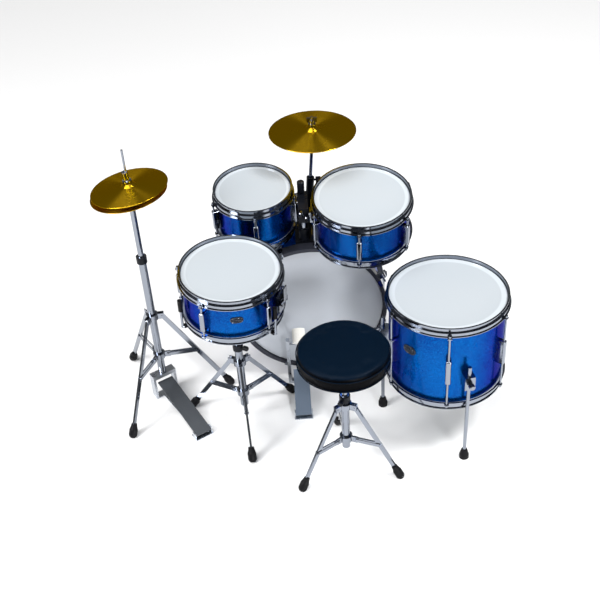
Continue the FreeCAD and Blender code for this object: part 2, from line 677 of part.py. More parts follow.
def badge(label, radius, total, azimuth, z, wide, tall):
    """A thin oval plate bent round the shell."""
    flat = wide / 2 - tall / 2
    ends = [place(rod(label + "_end%d" % i, tall / 2, 30), radius - 10, flat * side, z, turn("y", 90))
            for i, side in enumerate((1, -1))]
    blank = fuse(label + "_blank", ends + [block(label + "_mid", radius + 5, 0, z - tall / 2, 30, flat * 2, tall)])
    ring = tube(label + "_ring", radius + 1.2, radius, -total, 0)
    face = new("Part::MultiCommon", label + "_plate")
    face.Shapes = [blank, ring]
    return copy(face, rotation=turn("z", azimuth))


node("floor_tom_badge", group("floor_tom_badge", [badge("floor_badge", floor_dia / 2, floor_total, -137.0,
                                                        -104, 40, 26)]), floor_x, floor_y, floor_top)

# ---------------------------------------------------------------- snare drum
snare_x = -(snare_dia / 2 + 78)
snare_y = -178.0
snare_lean = lean(0.03, -0.08)
snare_r = snare_dia / 2
snare_total = snare_depth + (rise + film) * 2
strainer_at = -27.0
snare_low = -snare_total
drum("snare_drum", snare_dia, snare_depth, 5, -121.0, 62, snare_x, snare_y, snare_top, snare_lean)
node("snare_badge", group("snare_badge", [badge("snare_plate", snare_r, snare_total, -84.0, -66, 34, 20)]),
     snare_x, snare_y, snare_top, snare_lean)
span = snare_dia - 40
wire = place(rod("snare_wire", 0.8, span), -span / 2, 0, 0, turn("y", 90))
strands = [copy(wire, 0, (i - 5.5) * 3.4, snare_low + rise - 0.8) for i in range(12)]
clips = [block("snare_clip%d" % i, (span / 2 + 5) * side, 0, snare_low + rise - 1.6, 10, 44, 1.6)
         for i, side in enumerate((1, -1))]
wires_node = group("snare_wires", [copy(group("snare_wire_set", strands + clips), rotation=turn("z", strainer_at))])
node("snare_wires", wires_node, snare_x, snare_y, snare_top, snare_lean)
snare_core = place(rod("snare_core", snare_r, snare_total), 0, 0, snare_low)
strainer_box = block("strainer_box", snare_r + 4, 0, -96, 24, 30, 56)
butt_box = copy(block("butt_box", snare_r + 3, 0, -90, 18, 34, 34), rotation=turn("z", 180))
strainer = cut("strainer_body", strainer_box, [copy(snare_core)])
butt = cut("butt_body", butt_box, [copy(snare_core)])
lever_pin = place(rod("lever_pin", 2.5, 34), snare_r + 22, 17, -60, turn("x", 90))
cheek = [block("strainer_cheek%d" % i, snare_r + 20, side * 13, -68, 12, 4, 16) for i, side in enumerate((1, -1))]
strainer = fuse("strainer_all", [strainer, lever_pin] + cheek)
fittings = copy(group("strainer_pair", [strainer, butt]), rotation=turn("z", strainer_at))
node("snare_strainer", group("snare_strainer", [fittings]), snare_x, snare_y, snare_top, snare_lean)
lever_hub = place(rod("lever_hub", 5, 20), 0, 10, 0, turn("x", 90))
lever_arm = block("lever_arm", 3, 0, 2, 4, 18, 44)
lever = cut("lever_body", fuse("lever_sum", [lever_hub, lever_arm]),
            [place(rod("lever_bore", 2.5 + fit, 30), 0, 15, 0, turn("x", 90))])
lever_at = FreeCAD.Placement(V(), turn("z", strainer_at)).multVec(V(num(snare_r) + 22, 0, -60))
lever_at = snare_lean.multVec(lever_at)
node("snare_lever", group("snare_lever", [lever]), snare_x + lever_at.x, snare_y + lever_at.y,
     snare_top + lever_at.z, snare_lean.multiply(turn("z", strainer_at)))

# ---------------------------------------------------------------- snare stand
stand_low = snare_lean.multVec(V(0, 0, num(snare_low)))
stand_x = snare_x + stand_low.x
stand_y = snare_y + stand_low.y
hub_drop = 34.0
basket_hub = place(rod("basket_hub", 14, 22), 0, 0, snare_low - 24)
reach = snare_r + 14.5
arm_bar = place(rod("basket_bar", 4, reach - 4), 4, 0, snare_low - 7, turn("y", 90))
arm_up = place(rod("basket_up", 3.5, 88), reach, 0, snare_low - 7)
arm_knee = place(new("Part::Sphere", "basket_knee"), reach, 0, snare_low - 7)
arm_knee.Radius = 4
arm_sum = fuse("basket_arm", [arm_bar, arm_up, arm_knee])
grip_low = place(rod("grip_low", 6.5, 30), reach - 34, 0, snare_low - 7, turn("y", 90))
grip_up = place(rod("grip_up", 6, 36), reach, 0, snare_low + 48)
arm_first = 200.0
basket = fuse("basket_all", [basket_hub] + around(arm_sum, 3, arm_first))
ear = block("basket_ear", 0, 0, snare_low - 48, 10, 16, 26)
basket_pin = place(rod("basket_pin_bore", 3 + fit, 60), -30, 0, snare_low - 40, turn("y", 90))
basket_steel = cut("basket_steel", fuse("basket_sum", [basket, ear]), [basket_pin])
node("snare_basket", group("snare_basket", [basket_steel]), snare_x, snare_y, snare_top, snare_lean)
grips = cut("grip_pieces", group("grip_pair", [grip_low, grip_up]), [copy(arm_sum)])
node("snare_basket_grips", group("snare_basket_grips", around(grips, 3, arm_first)), snare_x, snare_y,
     snare_top, snare_lean)
yoke_at = snare_lean.multVec(V(0, 0, num(snare_low) - 40))
yoke_x = snare_x + yoke_at.x
yoke_y = snare_y + yoke_at.y
yoke_z = snare_top + yoke_at.z
yoke_pin = place(rod("yoke_pin", 3, 34), -17, 0, 0, turn("y", 90))
yoke_side = [block("yoke_side%d" % i, side * 9.5, 0, -22, 8, 16, 32) for i, side in enumerate((1, -1))]
yoke_base = block("yoke_base", 0, 0, -34, 27, 20, 14)
yoke = fuse("yoke", [yoke_pin, yoke_base] + yoke_side)
yoke = copy(yoke, rotation=turn("y", math.degrees(math.atan(0.03))))
stand_post_low = 150.0
stand_post = place(rod("snare_post_bar", post_r, yoke_z - 32 - stand_post_low), 0, 0, stand_post_low - yoke_z)
node("snare_stand_post", group("snare_stand_post", [fuse("snare_post_solid", [yoke, stand_post])]),
     yoke_x, yoke_y, yoke_z)


def lower_tube(name, x, y, low, high, parts):
    """A stand's fixed lower tube with the two collars of its tripod."""
    pipe = tube(name + "_pipe", tube_r, post_r + fit, low, high)
    node(name + "_tube", group(name + "_tube", [pipe] + parts), x, y)


def lock(name, x, y, high, azimuth):
    """The moulded clamp at the top of a stand's lower tube, with its key."""
    ring = tube(name + "_lock_ring", tube_r + 3.5, tube_r, high - 20, high)
    key = knob(name + "_lock_key", tube_r + 2.5, 0, high - 10, turn("y", 90), 7, 18)
    return place(group(name + "_lock", [fuse(name + "_lock_solid", [ring, key])]), x, y, 0, turn("z", azimuth))


locks = []
snare_tube_top = 284.0
lower_tube("snare_stand", yoke_x, yoke_y, 60, snare_tube_top,
           tripod("snare_stand", yoke_x, yoke_y, 219.0, 109.0, 168.0, -84.0, 0.5))
locks.append(lock("snare_stand", yoke_x, yoke_y, snare_tube_top, -30.0))

# ---------------------------------------------------------------- throne
throne_x = 65.0
throne_y = -361.0
throne_tube_top = 254.0
lower_tube("throne", throne_x, throne_y, 68, throne_tube_top,
           tripod("throne", throne_x, throne_y, 219.0, 100.0, 151.0, -145.0, 0.55))
locks.append(lock("throne", throne_x, throne_y, throne_tube_top, -120.0))
seat_r = seat_dia / 2
seat_low = seat_top - seat_thick
cushion = turned("cushion", [
    (0, seat_low), (seat_r - 5, seat_low), (seat_r, seat_low + 6), (seat_r, seat_top - 16),
    (seat_r - 16, seat_top), (0, seat_top)], {1: 6, 3: 16})
node("throne_seat", group("throne_seat", [cushion]), throne_x, throne_y)
pan = place(rod("seat_pan", seat_r - 12, 3), 0, 0, seat_low - 3)
seat_cup = tube("seat_cup", 18, post_r + fit, seat_low - 33, seat_low - 3)
node("throne_seat_pan", group("throne_seat_pan", [fuse("seat_pan_all", [pan, seat_cup])]), throne_x, throne_y)
seat_post_low = 120.0
stopper = place(rod("seat_post_collar", 13, 10), 0, 0, seat_low - 33 - gap - 10)
seat_post = place(rod("seat_post", post_r, seat_low - 4 - seat_post_low), 0, 0, seat_post_low)
node("throne_post", group("throne_post", [fuse("seat_post_all", [stopper, seat_post])]), throne_x, throne_y)

# ---------------------------------------------------------------- hi-hat stand
hat_x = -452.0
hat_y = -29.0
hat_tube_top = 500.0
hat_frame_top = 84.0
hat_turn = 31.9
lower_tube("hihat_stand", hat_x, hat_y, hat_frame_top, hat_tube_top,
           tripod("hihat_stand", hat_x, hat_y, 293.0, 150.0, 195.0, -114.8, 0.5))
locks.append(lock("hihat_stand", hat_x, hat_y, hat_tube_top, 100.0))
node("stand_locks", group("stand_locks", locks))

hat_lean = lean(-0.11, 0.04)
hat_bow = 8.0
hat_bell = 9.0
hat_sag = hat_bow + hat_bell
hat_gap = 15.0
pull_r = 3.0
cup_z = hat_height - hat_gap / 2 - hat_sag - 16
upper = tube("hihat_upper_pipe", post_r, pull_r + 1.2, 330, cup_z)
seat_base = tube("hihat_seat_base", 17, pull_r + 1.2, cup_z, cup_z + 5)
seat_felt = turned("hihat_seat_felt", [(5.4, -1.43), (14, -1.43), (14, 4), (8, 6.95), (5.4, 6.95)])
wedge = turned("hihat_seat_wedge", [(5.4, 3.5), (16, 3.5), (16, 7.5), (5.4, 7.5)])
cup_group = place(seat_felt, 0, 0, cup_z + 9, hat_lean)
ramp = place(wedge, 0, 0, cup_z, hat_lean)
ramp_all = fuse("hihat_cup_all", [seat_base, tube("hihat_seat_riser", 12, 5.4, cup_z + 4, cup_z + 6), ramp])
node("hihat_upper_tube", group("hihat_upper_tube", [fuse("hihat_upper_all", [upper, ramp_all]), cup_group]),
     hat_x, hat_y)
low_disc = copy(cymbal("hihat_low_disc", hat_dia, 6, 20, hat_bell, hat_bow), rotation=turn("x", 180))
node("hihat_bottom_cymbal", group("hihat_bottom_cymbal", [low_disc]), hat_x, hat_y, cup_z + 16, hat_lean)
top_disc = cymbal("hihat_top_disc", hat_dia, 6, 20, hat_bell, hat_bow)
top_at = 16 + hat_sag * 2 + hat_gap
node("hihat_top_cymbal", group("hihat_top_cymbal", [top_disc]), hat_x, hat_y, cup_z + top_at, hat_lean)
clutch = turned("hihat_clutch", [(0, 0), (12, 0), (12, 5), (8, 7), (8, 30), (0, 30)])
clutch_all = place(clutch, 0, 0, cup_z + top_at, hat_lean)
pull_low = 68.0
pull = place(rod("hihat_pull", pull_r, 824 - pull_low), 0, 0, pull_low)
node("hihat_rod", group("hihat_rod", [fuse("hihat_rod_all", [pull, clutch_all])]), hat_x, hat_y)


# ---------------------------------------------------------------- pedals
def pedal(name, x, y, degrees, long, width, lift, extra):
    """A pedal: floor plate with heel ears, and a board hinged on the heel pin; toe at the origin."""
    heel_z = 14.0
    plate = block(name + "_plate", 0, -long / 2 + 4, 0, 24, long + 8, 3)
    heel = block(name + "_heel", 0, -long + 1, 0, width, 30, 3)
    ears = [block(name + "_ear%d" % i, side * (width / 2 - 1.5), -long, 0, 3, 14, 21)
            for i, side in enumerate((1, -1))]
    heel_pin = place(rod(name + "_pin", 2.5, width), -width / 2, -long, heel_z, turn("y", 90))
    base = fuse(name + "_frame_solid", [plate, heel, heel_pin] + ears + extra)
    spin = turn("z", degrees)
    node(name + "_frame", group(name + "_frame", [base]), x, y, 0, spin)
    inner = width - 6 - gap * 2
    barrel = place(rod(name + "_barrel", 6, inner), -inner / 2, 0, 0, turn("y", 90))
    board = block(name + "_tread", 0, long / 2 - 7, 2, inner, long + 6, 4)
    bore = place(rod(name + "_bore", 2.5 + fit, width), -width / 2, 0, 0, turn("y", 90))
    plank = cut(name + "_board_solid", fuse(name + "_board_sum", [barrel, board]), [bore])
    side = math.radians(degrees)
    tilt = math.degrees(math.atan2(lift, long))
    node(name + "_board", group(name + "_board", [plank]), x + long * math.sin(side),
         y - long * math.cos(side), heel_z, spin.multiply(turn("x", tilt)))


bass_pedal_x = -44.0
axle_y = -20.0
axle_z = 150.0
axle_r = 4.0
bass_width = 52.0
towers = [block("pedal_tower%d" % i, side * (bass_width / 2 + 8), 0, 0, 10, 16, axle_z + 14)
          for i, side in enumerate((1, -1))]
cross = block("pedal_cross", 0, 0, 0, bass_width + 26, 16, 8)
grip = block("pedal_grip", 0, 18, 0, 26, 34, 48)
hoop_tool = place(group("pedal_hoop_tool", [copy(hoop_core)]), -bass_pedal_x, -axle_y, 0)
clamp = cut("pedal_clamp", grip, [hoop_tool])
axle_bore = place(rod("pedal_axle_bore", axle_r + fit, 120), -60, 0, axle_z, turn("y", 90))
tower_set = cut("pedal_towers", fuse("pedal_tower_sum", towers + [cross]), [axle_bore])
pedal("bass_pedal", bass_pedal_x, axle_y, 0.0, 150.0, bass_width, 40.0, [tower_set, clamp])
axle = place(rod("beater_axle", axle_r, bass_width + 26), -(bass_width + 26) / 2, 0, 0, turn("y", 90))
wheel = place(rod("beater_wheel", 22, 10), -5, 0, 0, turn("y", 90))
shaft = place(rod("beater_shaft", 3, 104), 0, 0, 6)
node("bass_beater", group("bass_beater", [fuse("beater_solid", [axle, wheel, shaft])]),
     bass_pedal_x, axle_y, axle_z, turn("x", 40))
felt = place(rod("beater_felt", 18, 40), 0, 20, 112, turn("x", 90))
felt = cut("beater_felt_cut", felt, [copy(shaft)])
node("bass_beater_felt", group("bass_beater_felt", [felt]), bass_pedal_x, axle_y, axle_z, turn("x", 40))

hat_posts = [block("hat_post%d" % i, side * 33, 0, 0, 7, 24, hat_frame_top) for i, side in enumerate((1, -1))]
hat_floor = block("hat_floor", 0, 0, 0, 73, 24, 3)
hat_bridge = block("hat_bridge", 0, 0, hat_frame_top - 12, 73, 26, 12)
hat_hole = place(rod("hat_hole", pull_r + 1.2, 40), 0, 0, hat_frame_top - 20)
hat_cage = cut("hat_cage", fuse("hat_cage_sum", hat_posts + [hat_floor, hat_bridge]), [hat_hole])
pedal("hihat_pedal", hat_x, hat_y, hat_turn, 222.0, 54.0, 40.0, [hat_cage])

# ---------------------------------------------------------------- checks and export
doc.recompute()
faults = []
for obj in doc.Objects:
    if "Invalid" in obj.State or "Error" in obj.State:
        faults.append("%s is %s" % (obj.Label, obj.State))
for name, obj in nodes.items():
    if obj.Shape.isNull() or not obj.Shape.isValid() or not obj.Shape.Solids:
        faults.append("%s has no sound shape" % name)
if faults:
    raise RuntimeError("; ".join(faults))
os.makedirs("parts", exist_ok=True)
for name, obj in nodes.items():
    obj.Shape.exportStep("parts/%s.step" % name)
box = FreeCAD.BoundBox()
for obj in nodes.values():
    box.add(obj.Shape.BoundBox)
print("%d nodes, box %s" % (len(nodes), box))
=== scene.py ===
"""Looks of a junior acoustic drum kit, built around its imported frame.

Lengths are metres in the frame's own axes: +Z up, -Y towards the drummer. The file is laid out as an
add-on: property groups hold the sizes and finishes, one operator dresses each group of like pieces,
and main() calls them in order.
"""
import json
import math

import bmesh
import bpy
import numpy as np
from bpy.props import BoolProperty, FloatProperty, FloatVectorProperty, IntProperty, PointerProperty
from mathutils import Matrix, Vector


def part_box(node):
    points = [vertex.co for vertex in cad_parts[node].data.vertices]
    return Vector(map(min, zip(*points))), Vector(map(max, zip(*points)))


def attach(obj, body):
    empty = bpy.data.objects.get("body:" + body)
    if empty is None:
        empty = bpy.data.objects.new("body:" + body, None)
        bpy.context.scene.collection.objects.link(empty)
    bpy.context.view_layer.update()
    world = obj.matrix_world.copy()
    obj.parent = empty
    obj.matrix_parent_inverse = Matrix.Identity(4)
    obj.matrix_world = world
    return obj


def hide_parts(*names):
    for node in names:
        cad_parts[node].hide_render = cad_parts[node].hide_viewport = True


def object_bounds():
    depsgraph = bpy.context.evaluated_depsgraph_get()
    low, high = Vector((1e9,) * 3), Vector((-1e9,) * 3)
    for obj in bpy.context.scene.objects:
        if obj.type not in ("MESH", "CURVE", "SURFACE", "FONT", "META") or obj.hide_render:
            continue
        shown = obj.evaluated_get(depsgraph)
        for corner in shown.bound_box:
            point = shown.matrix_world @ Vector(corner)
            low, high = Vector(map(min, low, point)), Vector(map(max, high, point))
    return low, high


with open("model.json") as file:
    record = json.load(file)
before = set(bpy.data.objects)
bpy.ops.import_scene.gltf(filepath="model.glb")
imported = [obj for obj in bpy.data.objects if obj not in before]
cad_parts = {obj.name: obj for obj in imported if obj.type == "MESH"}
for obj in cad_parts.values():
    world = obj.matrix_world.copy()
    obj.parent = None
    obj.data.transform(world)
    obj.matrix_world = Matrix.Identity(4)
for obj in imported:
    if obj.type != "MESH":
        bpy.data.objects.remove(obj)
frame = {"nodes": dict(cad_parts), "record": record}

bl_info = {
    "name": "Junior Drum Kit",
    "version": (1, 0, 0),
    "blender": (4, 5, 0),
    "location": "View3D > Sidebar > Drum Kit",
    "description": "Dresses a junior acoustic drum kit and sets up its studio",
    "category": "Object",
}

CAD_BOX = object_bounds()
MM = 0.001
MERGE = 1e-6
DUST_TINT = (0.45, 0.44, 0.42, 1)
FLOOR_REACH = 14.0
CLOTH_FRAMES = 20
CAMERA_AT = (-0.0018, -2.1322, 2.0165)
CAMERA_PITCH = 0.661
CAMERA_ROLL = -0.067
CAMERA_LENS = 59.32
BODY_OF = {node: body for body, members in frame["record"]["behaviour"]["bodies"].items() for node in members}
DRUMS = ("bass_drum", "left_tom", "right_tom", "floor_tom", "snare_drum")


# ------------------------------------------------------------------ properties
class KitFinishes(bpy.types.PropertyGroup):
    """Colours that a user would change."""

    wrap: FloatVectorProperty(name="Wrap", description="Blue lacquer over the shells", subtype="COLOR",
                              size=3, min=0, max=1, default=(0.0004, 0.022, 0.165))
    wrap_flake: FloatVectorProperty(name="Flake", description="Metal flake in the wrap", subtype="COLOR",
                                    size=3, min=0, max=1, default=(0.001, 0.27, 0.80))
    # Set dark and bluish as a painted reflection of darker surroundings in the plate.
    chrome: FloatVectorProperty(name="Chrome", description="Plated hardware", subtype="COLOR",
                                size=3, min=0, max=1, default=(0.24, 0.26, 0.30))
    brass: FloatVectorProperty(name="Brass", description="Cymbal metal", subtype="COLOR",
                               size=3, min=0, max=1, default=(0.50, 0.30, 0.012))
    head: FloatVectorProperty(name="Head", description="Coated drum head", subtype="COLOR",
                              size=3, min=0, max=1, default=(0.345, 0.372, 0.395))
    # Colour of the seat's top; it is lighter and bluer than the side as a painted reflection of the sky on
    # faces that look up.
    vinyl: FloatVectorProperty(name="Vinyl", description="Throne upholstery", subtype="COLOR",
                               size=3, min=0, max=1, default=(0.001, 0.0045, 0.011))


class KitSizes(bpy.types.PropertyGroup):
    """Sizes of the fine detail that the frame leaves plain."""

    segments: IntProperty(name="Round steps", description="Steps round a turned piece",
                          default=160, min=24, max=512)
    lathe_rings: IntProperty(name="Lathe rings", description="Turning grooves across a cymbal",
                             default=46, min=8, max=200)
    seam: FloatProperty(name="Piping", description="Thickness of the cushion's piping", default=0.0032,
                        min=0.001, max=0.01, unit="LENGTH", subtype="DISTANCE")
    voxel: FloatProperty(name="Voxel", description="Remesh size of the cushion", default=0.005,
                         min=0.003, max=0.01, unit="LENGTH", subtype="DISTANCE")
    swell: FloatProperty(name="Swell", description="Most that the stuffing may push the cover out",
                         default=0.010, min=0.0, max=0.03, unit="LENGTH", subtype="DISTANCE")
    simulate: BoolProperty(name="Simulate cushion", description="Puff the cushion with a cloth run",
                           default=True)


def finishes():
    """The finish settings of this scene."""
    return bpy.context.scene.kit_finishes


def sizes():
    """The size settings of this scene."""
    return bpy.context.scene.kit_sizes


# ------------------------------------------------------------------ measuring the frame
class Round:
    """A round node's own frame: centre, axis, two cross directions, radius and half its length."""

    def __init__(self, node, upward=(0.0, 0.0, 1.0)):
        mesh = frame["nodes"][node].data
        points = np.empty(len(mesh.vertices) * 3)
        mesh.vertices.foreach_get("co", points)
        points = points.reshape(-1, 3)
        normals, areas = np.empty(len(mesh.polygons) * 3), np.empty(len(mesh.polygons))
        mesh.polygons.foreach_get("normal", normals)
        mesh.polygons.foreach_get("area", areas)
        normals = normals.reshape(-1, 3)
        spread = (normals * areas[:, None]).T @ normals
        values, vectors = np.linalg.eigh(spread)
        odd = 0 if values[1] - values[0] > values[2] - values[1] else 2
        axis = vectors[:, odd]
        if axis @ np.array(upward) < 0:
            axis = -axis
        side = np.cross((0.0, 1.0, 0.0) if abs(axis[1]) < 0.9 else (1.0, 0.0, 0.0), axis)
        side /= np.linalg.norm(side)
        other = np.cross(axis, side)
        local = points @ np.stack((side, other, axis), 1)
        low, high = local.min(0), local.max(0)
        middle = (low + high) / 2
        self.basis = np.stack((side, other, axis))
        self.centre = middle @ self.basis
        self.half = (high[2] - low[2]) / 2
        self.radius = np.hypot(*(local[:, :2] - middle[:2]).T).max()

    def place(self, local):
        """Points given along (side, other, axis) from the centre, in the row frame."""
        return local @ self.basis + self.centre


# ------------------------------------------------------------------ making meshes
def mesh_object(name, points, faces, uv=None):
    """One mesh object from arrays of points and faces, with a UV pair for each face corner."""
    mesh = bpy.data.meshes.new(name)
    mesh.from_pydata(points.tolist(), [], faces.tolist())
    if uv is not None:
        layer = mesh.uv_layers.new(name="UVMap")
        layer.data.foreach_set("uv", np.ascontiguousarray(uv, np.float32).ravel())
    mesh.polygons.foreach_set("use_smooth", np.full(len(mesh.polygons), True))
    mesh.update()
    obj = bpy.data.objects.new(name, mesh)
    bpy.context.scene.collection.objects.link(obj)
    return obj


def sheet_faces(rows, columns, wrap_rows=False, wrap_columns=False):
    """Quads of a grid of rows x columns points, and the grid steps of each corner."""
    i = np.arange(rows if wrap_rows else rows - 1)
    j = np.arange(columns if wrap_columns else columns - 1)
    i, j = (part.ravel() for part in np.meshgrid(i, j, indexing="ij"))
    corner_i = np.stack((i, i, i + 1, i + 1), 1)
    corner_j = np.stack((j, j + 1, j + 1, j), 1)
    faces = (corner_i % rows) * columns + corner_j % columns
    return faces, corner_i, corner_j


def close_and_face(obj):
    """Merge doubled points at poles and seams, drop faces with no area and turn all faces outwards."""
    work = bmesh.new()
    work.from_mesh(obj.data)
    bmesh.ops.remove_doubles(work, verts=work.verts, dist=MERGE)
    bmesh.ops.dissolve_degenerate(work, edges=work.edges, dist=MERGE)
    bmesh.ops.recalc_face_normals(work, faces=work.faces)
    work.to_mesh(obj.data)
    work.free()
    return obj


def lathe(name, place, profile, segments, closed=True, v_scale=None):
    """Carry a profile of (radius, height) points round an axis: x = r cos a, y = r sin a, z = h.

    The UV map holds (a / turn, r / v_scale), so a pattern can follow the radius.
    """
    profile = np.asarray(profile, float)
    angle = np.linspace(0, 2 * np.pi, segments, endpoint=False)
    radius, angle_grid = np.meshgrid(profile[:, 0], angle, indexing="ij")
    height = np.repeat(profile[:, 1:2], segments, 1)
    local = np.stack((radius * np.cos(angle_grid), radius * np.sin(angle_grid), height), -1)
    faces, i, j = sheet_faces(len(profile), segments, closed, True)
    v_scale = v_scale or profile[:, 0].max()
    uv = np.stack((j / segments, profile[i % len(profile), 0] / v_scale), -1)
    obj = mesh_object(name, place(local.reshape(-1, 3)), faces, uv)
    return close_and_face(obj)


def sweep(name, path, radius, sides=10, closed=False):
    """A round bar along a path: each ring is radius (n cos a + b sin a) about its path point.

    radius is one number or one per point; an open bar's ends are closed by rings of no radius.
    """
    path = np.asarray(path, float)
    radius = np.broadcast_to(np.asarray(radius, float), (len(path),)).copy()
    if closed:
        tangent = np.roll(path, -1, 0) - np.roll(path, 1, 0)
    else:
        path = np.concatenate((path[:1], path, path[-1:]))
        radius = np.concatenate(([0.0], radius, [0.0]))
        tangent = np.gradient(path, axis=0)
        tangent[0] = tangent[1] = path[2] - path[1]
        tangent[-1] = tangent[-2] = path[-2] - path[-3]
    tangent /= np.linalg.norm(tangent, axis=1)[:, None]
    up = np.linalg.svd(path - path.mean(0), full_matrices=False)[2][-1]
    normal = np.cross(tangent, up)
    normal /= np.linalg.norm(normal, axis=1)[:, None]
    binormal = np.cross(tangent, normal)
    angle = np.linspace(0, 2 * np.pi, sides, endpoint=False)
    ring = (normal[:, None] * np.cos(angle)[None, :, None] + binormal[:, None] * np.sin(angle)[None, :, None])
    points = path[:, None] + ring * radius[:, None, None]
    faces, i, j = sheet_faces(len(path), sides, closed, True)
    uv = np.stack((j / sides, i / len(path)), -1)
    return close_and_face(mesh_object(name, points.reshape(-1, 3), faces, uv))


def arc(centre, radius, start, end, steps):
    """Points (r, h) on part of a circle, from one angle in degrees to another."""
    angle = np.radians(np.linspace(start, end, steps))
    return np.stack((centre[0] + radius * np.cos(angle), centre[1] + radius * np.sin(angle)), 1)


def finish_piece(obj, body, material, stands_for=()):
    """Give a new piece its material and slot, let it ride its body and hide what it stands for."""
    obj.data.materials.clear()
    obj.data.materials.append(material)
    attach(obj, body)
    if stands_for:
        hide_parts(*stands_for)
    return obj


def dress(names, material):
    """Give carried-over nodes a material."""
    for name in names:
        mesh = frame["nodes"][name].data
        mesh.materials.clear()
        mesh.materials.append(material)


# ------------------------------------------------------------------ shader groups
def new_group(name, inputs, outputs):
    """An empty shader group; inputs and outputs are (name, kind, default) rows."""
    tree = bpy.data.node_groups.new(name, "ShaderNodeTree")
    for label, kind, value in inputs:
        socket = tree.interface.new_socket(name=label, in_out="INPUT", socket_type="NodeSocket" + kind)
        if value is not None:
            socket.default_value = value
    for label, kind in outputs:
        tree.interface.new_socket(name=label, in_out="OUTPUT", socket_type="NodeSocket" + kind)
    entry = tree.nodes.new("NodeGroupInput")
    leave = tree.nodes.new("NodeGroupOutput")
    entry.location = (-800, 0)
    leave.location = (600, 0)
    return tree, entry, leave


def add(tree, kind, at=(0, 0), inputs=None, **settings):
    """A node with its settings and its inputs, each a plain value or another node's output."""
    node = tree.nodes.new(kind)
    node.location = at
    for key, value in settings.items():
        setattr(node, key, value)
    for key, value in (inputs or {}).items():
        if isinstance(value, bpy.types.NodeSocket):
            tree.links.new(value, node.inputs[key])
        else:
            node.inputs[key].default_value = value
    return node


def smudge_group():
    """Roughness that wanders between two values, as on handled metal."""
    tree, entry, leave = new_group("Kit Smudge", [
        ("Scale", "Float", 18.0), ("Low", "Float", 0.05), ("High", "Float", 0.2)],
        [("Roughness", "Float")])
    where = add(tree, "ShaderNodeTexCoord", (-700, -200))
    cloud = add(tree, "ShaderNodeTexNoise", (-400, 0), {
        "Vector": where.outputs["Object"], "Scale": entry.outputs["Scale"], "Detail": 5.0, "Roughness": 0.6})
    spread = add(tree, "ShaderNodeMapRange", (0, 0), {
        "Value": cloud.outputs[0], "From Min": 0.35, "From Max": 0.7,
        "To Min": entry.outputs["Low"], "To Max": entry.outputs["High"]})
    tree.links.new(spread.outputs[0], leave.inputs["Roughness"])
    return tree


def grain_group():
    """Fine cells and creases pressed into a surface, such as moulded plastic or leather."""
    tree, entry, leave = new_group("Kit Grain", [
        ("Scale", "Float", 600.0), ("Depth", "Float", 0.2), ("Crease", "Float", 0.5)],
        [("Normal", "Vector"), ("Mask", "Float")])
    where = add(tree, "ShaderNodeTexCoord", (-800, -300))
    cells = add(tree, "ShaderNodeTexVoronoi", (-500, 100), {
        "Vector": where.outputs["Object"], "Scale": entry.outputs["Scale"]}, feature="DISTANCE_TO_EDGE")
    cloud = add(tree, "ShaderNodeTexNoise", (-500, -200), {
        "Vector": where.outputs["Object"], "Scale": entry.outputs["Scale"], "Detail": 4.0})
    mixed = add(tree, "ShaderNodeMix", (-200, 0), {
        0: entry.outputs["Crease"], 2: cloud.outputs[0], 3: cells.outputs[0]}, data_type="FLOAT")
    bump = add(tree, "ShaderNodeBump", (200, 0), {
        "Strength": entry.outputs["Depth"], "Distance": 0.0006, "Height": mixed.outputs[0]})
    tree.links.new(bump.outputs[0], leave.inputs["Normal"])
    tree.links.new(mixed.outputs[0], leave.inputs["Mask"])
    return tree


def flake_group():
    """Metal flakes under lacquer: each small cell has its own brightness and a slight tilt."""
    tree, entry, leave = new_group("Kit Flake", [
        ("Base", "Color", (0.0, 0.1, 0.5, 1)), ("Flake", "Color", (0.1, 0.4, 1.0, 1)),
        ("Scale", "Float", 900.0), ("Amount", "Float", 0.35)], [("Color", "Color"), ("Normal", "Vector")])
    where = add(tree, "ShaderNodeTexCoord", (-900, -300))
    cells = add(tree, "ShaderNodeTexVoronoi", (-600, 0), {
        "Vector": where.outputs["Object"], "Scale": entry.outputs["Scale"]})
    cloud = add(tree, "ShaderNodeTexNoise", (-600, -300), {
        "Vector": where.outputs["Object"], "Scale": 9.0, "Detail": 3.0})
    pick = add(tree, "ShaderNodeSeparateColor", (-400, 100), {0: cells.outputs["Color"]})
    level = add(tree, "ShaderNodeMapRange", (-200, 100), {
        "Value": pick.outputs[0], "From Min": 0.5, "From Max": 1.0, "To Min": 0.0,
        "To Max": entry.outputs["Amount"]})
    drift = add(tree, "ShaderNodeMapRange", (-200, -200), {
        "Value": cloud.outputs[0], "From Min": 0.3, "From Max": 0.7, "To Min": 0.0, "To Max": 0.12})
    total = add(tree, "ShaderNodeMath", (0, 0), {0: level.outputs[0], 1: drift.outputs[0]}, operation="ADD")
    colour = add(tree, "ShaderNodeMix", (200, 100), {
        0: total.outputs[0], 6: entry.outputs["Base"], 7: entry.outputs["Flake"]}, data_type="RGBA")
    bump = add(tree, "ShaderNodeBump", (200, -200), {
        "Strength": 0.12, "Distance": 0.0003, "Height": pick.outputs[1]})
    tree.links.new(colour.outputs[2], leave.inputs["Color"])
    tree.links.new(bump.outputs[0], leave.inputs["Normal"])
    return tree


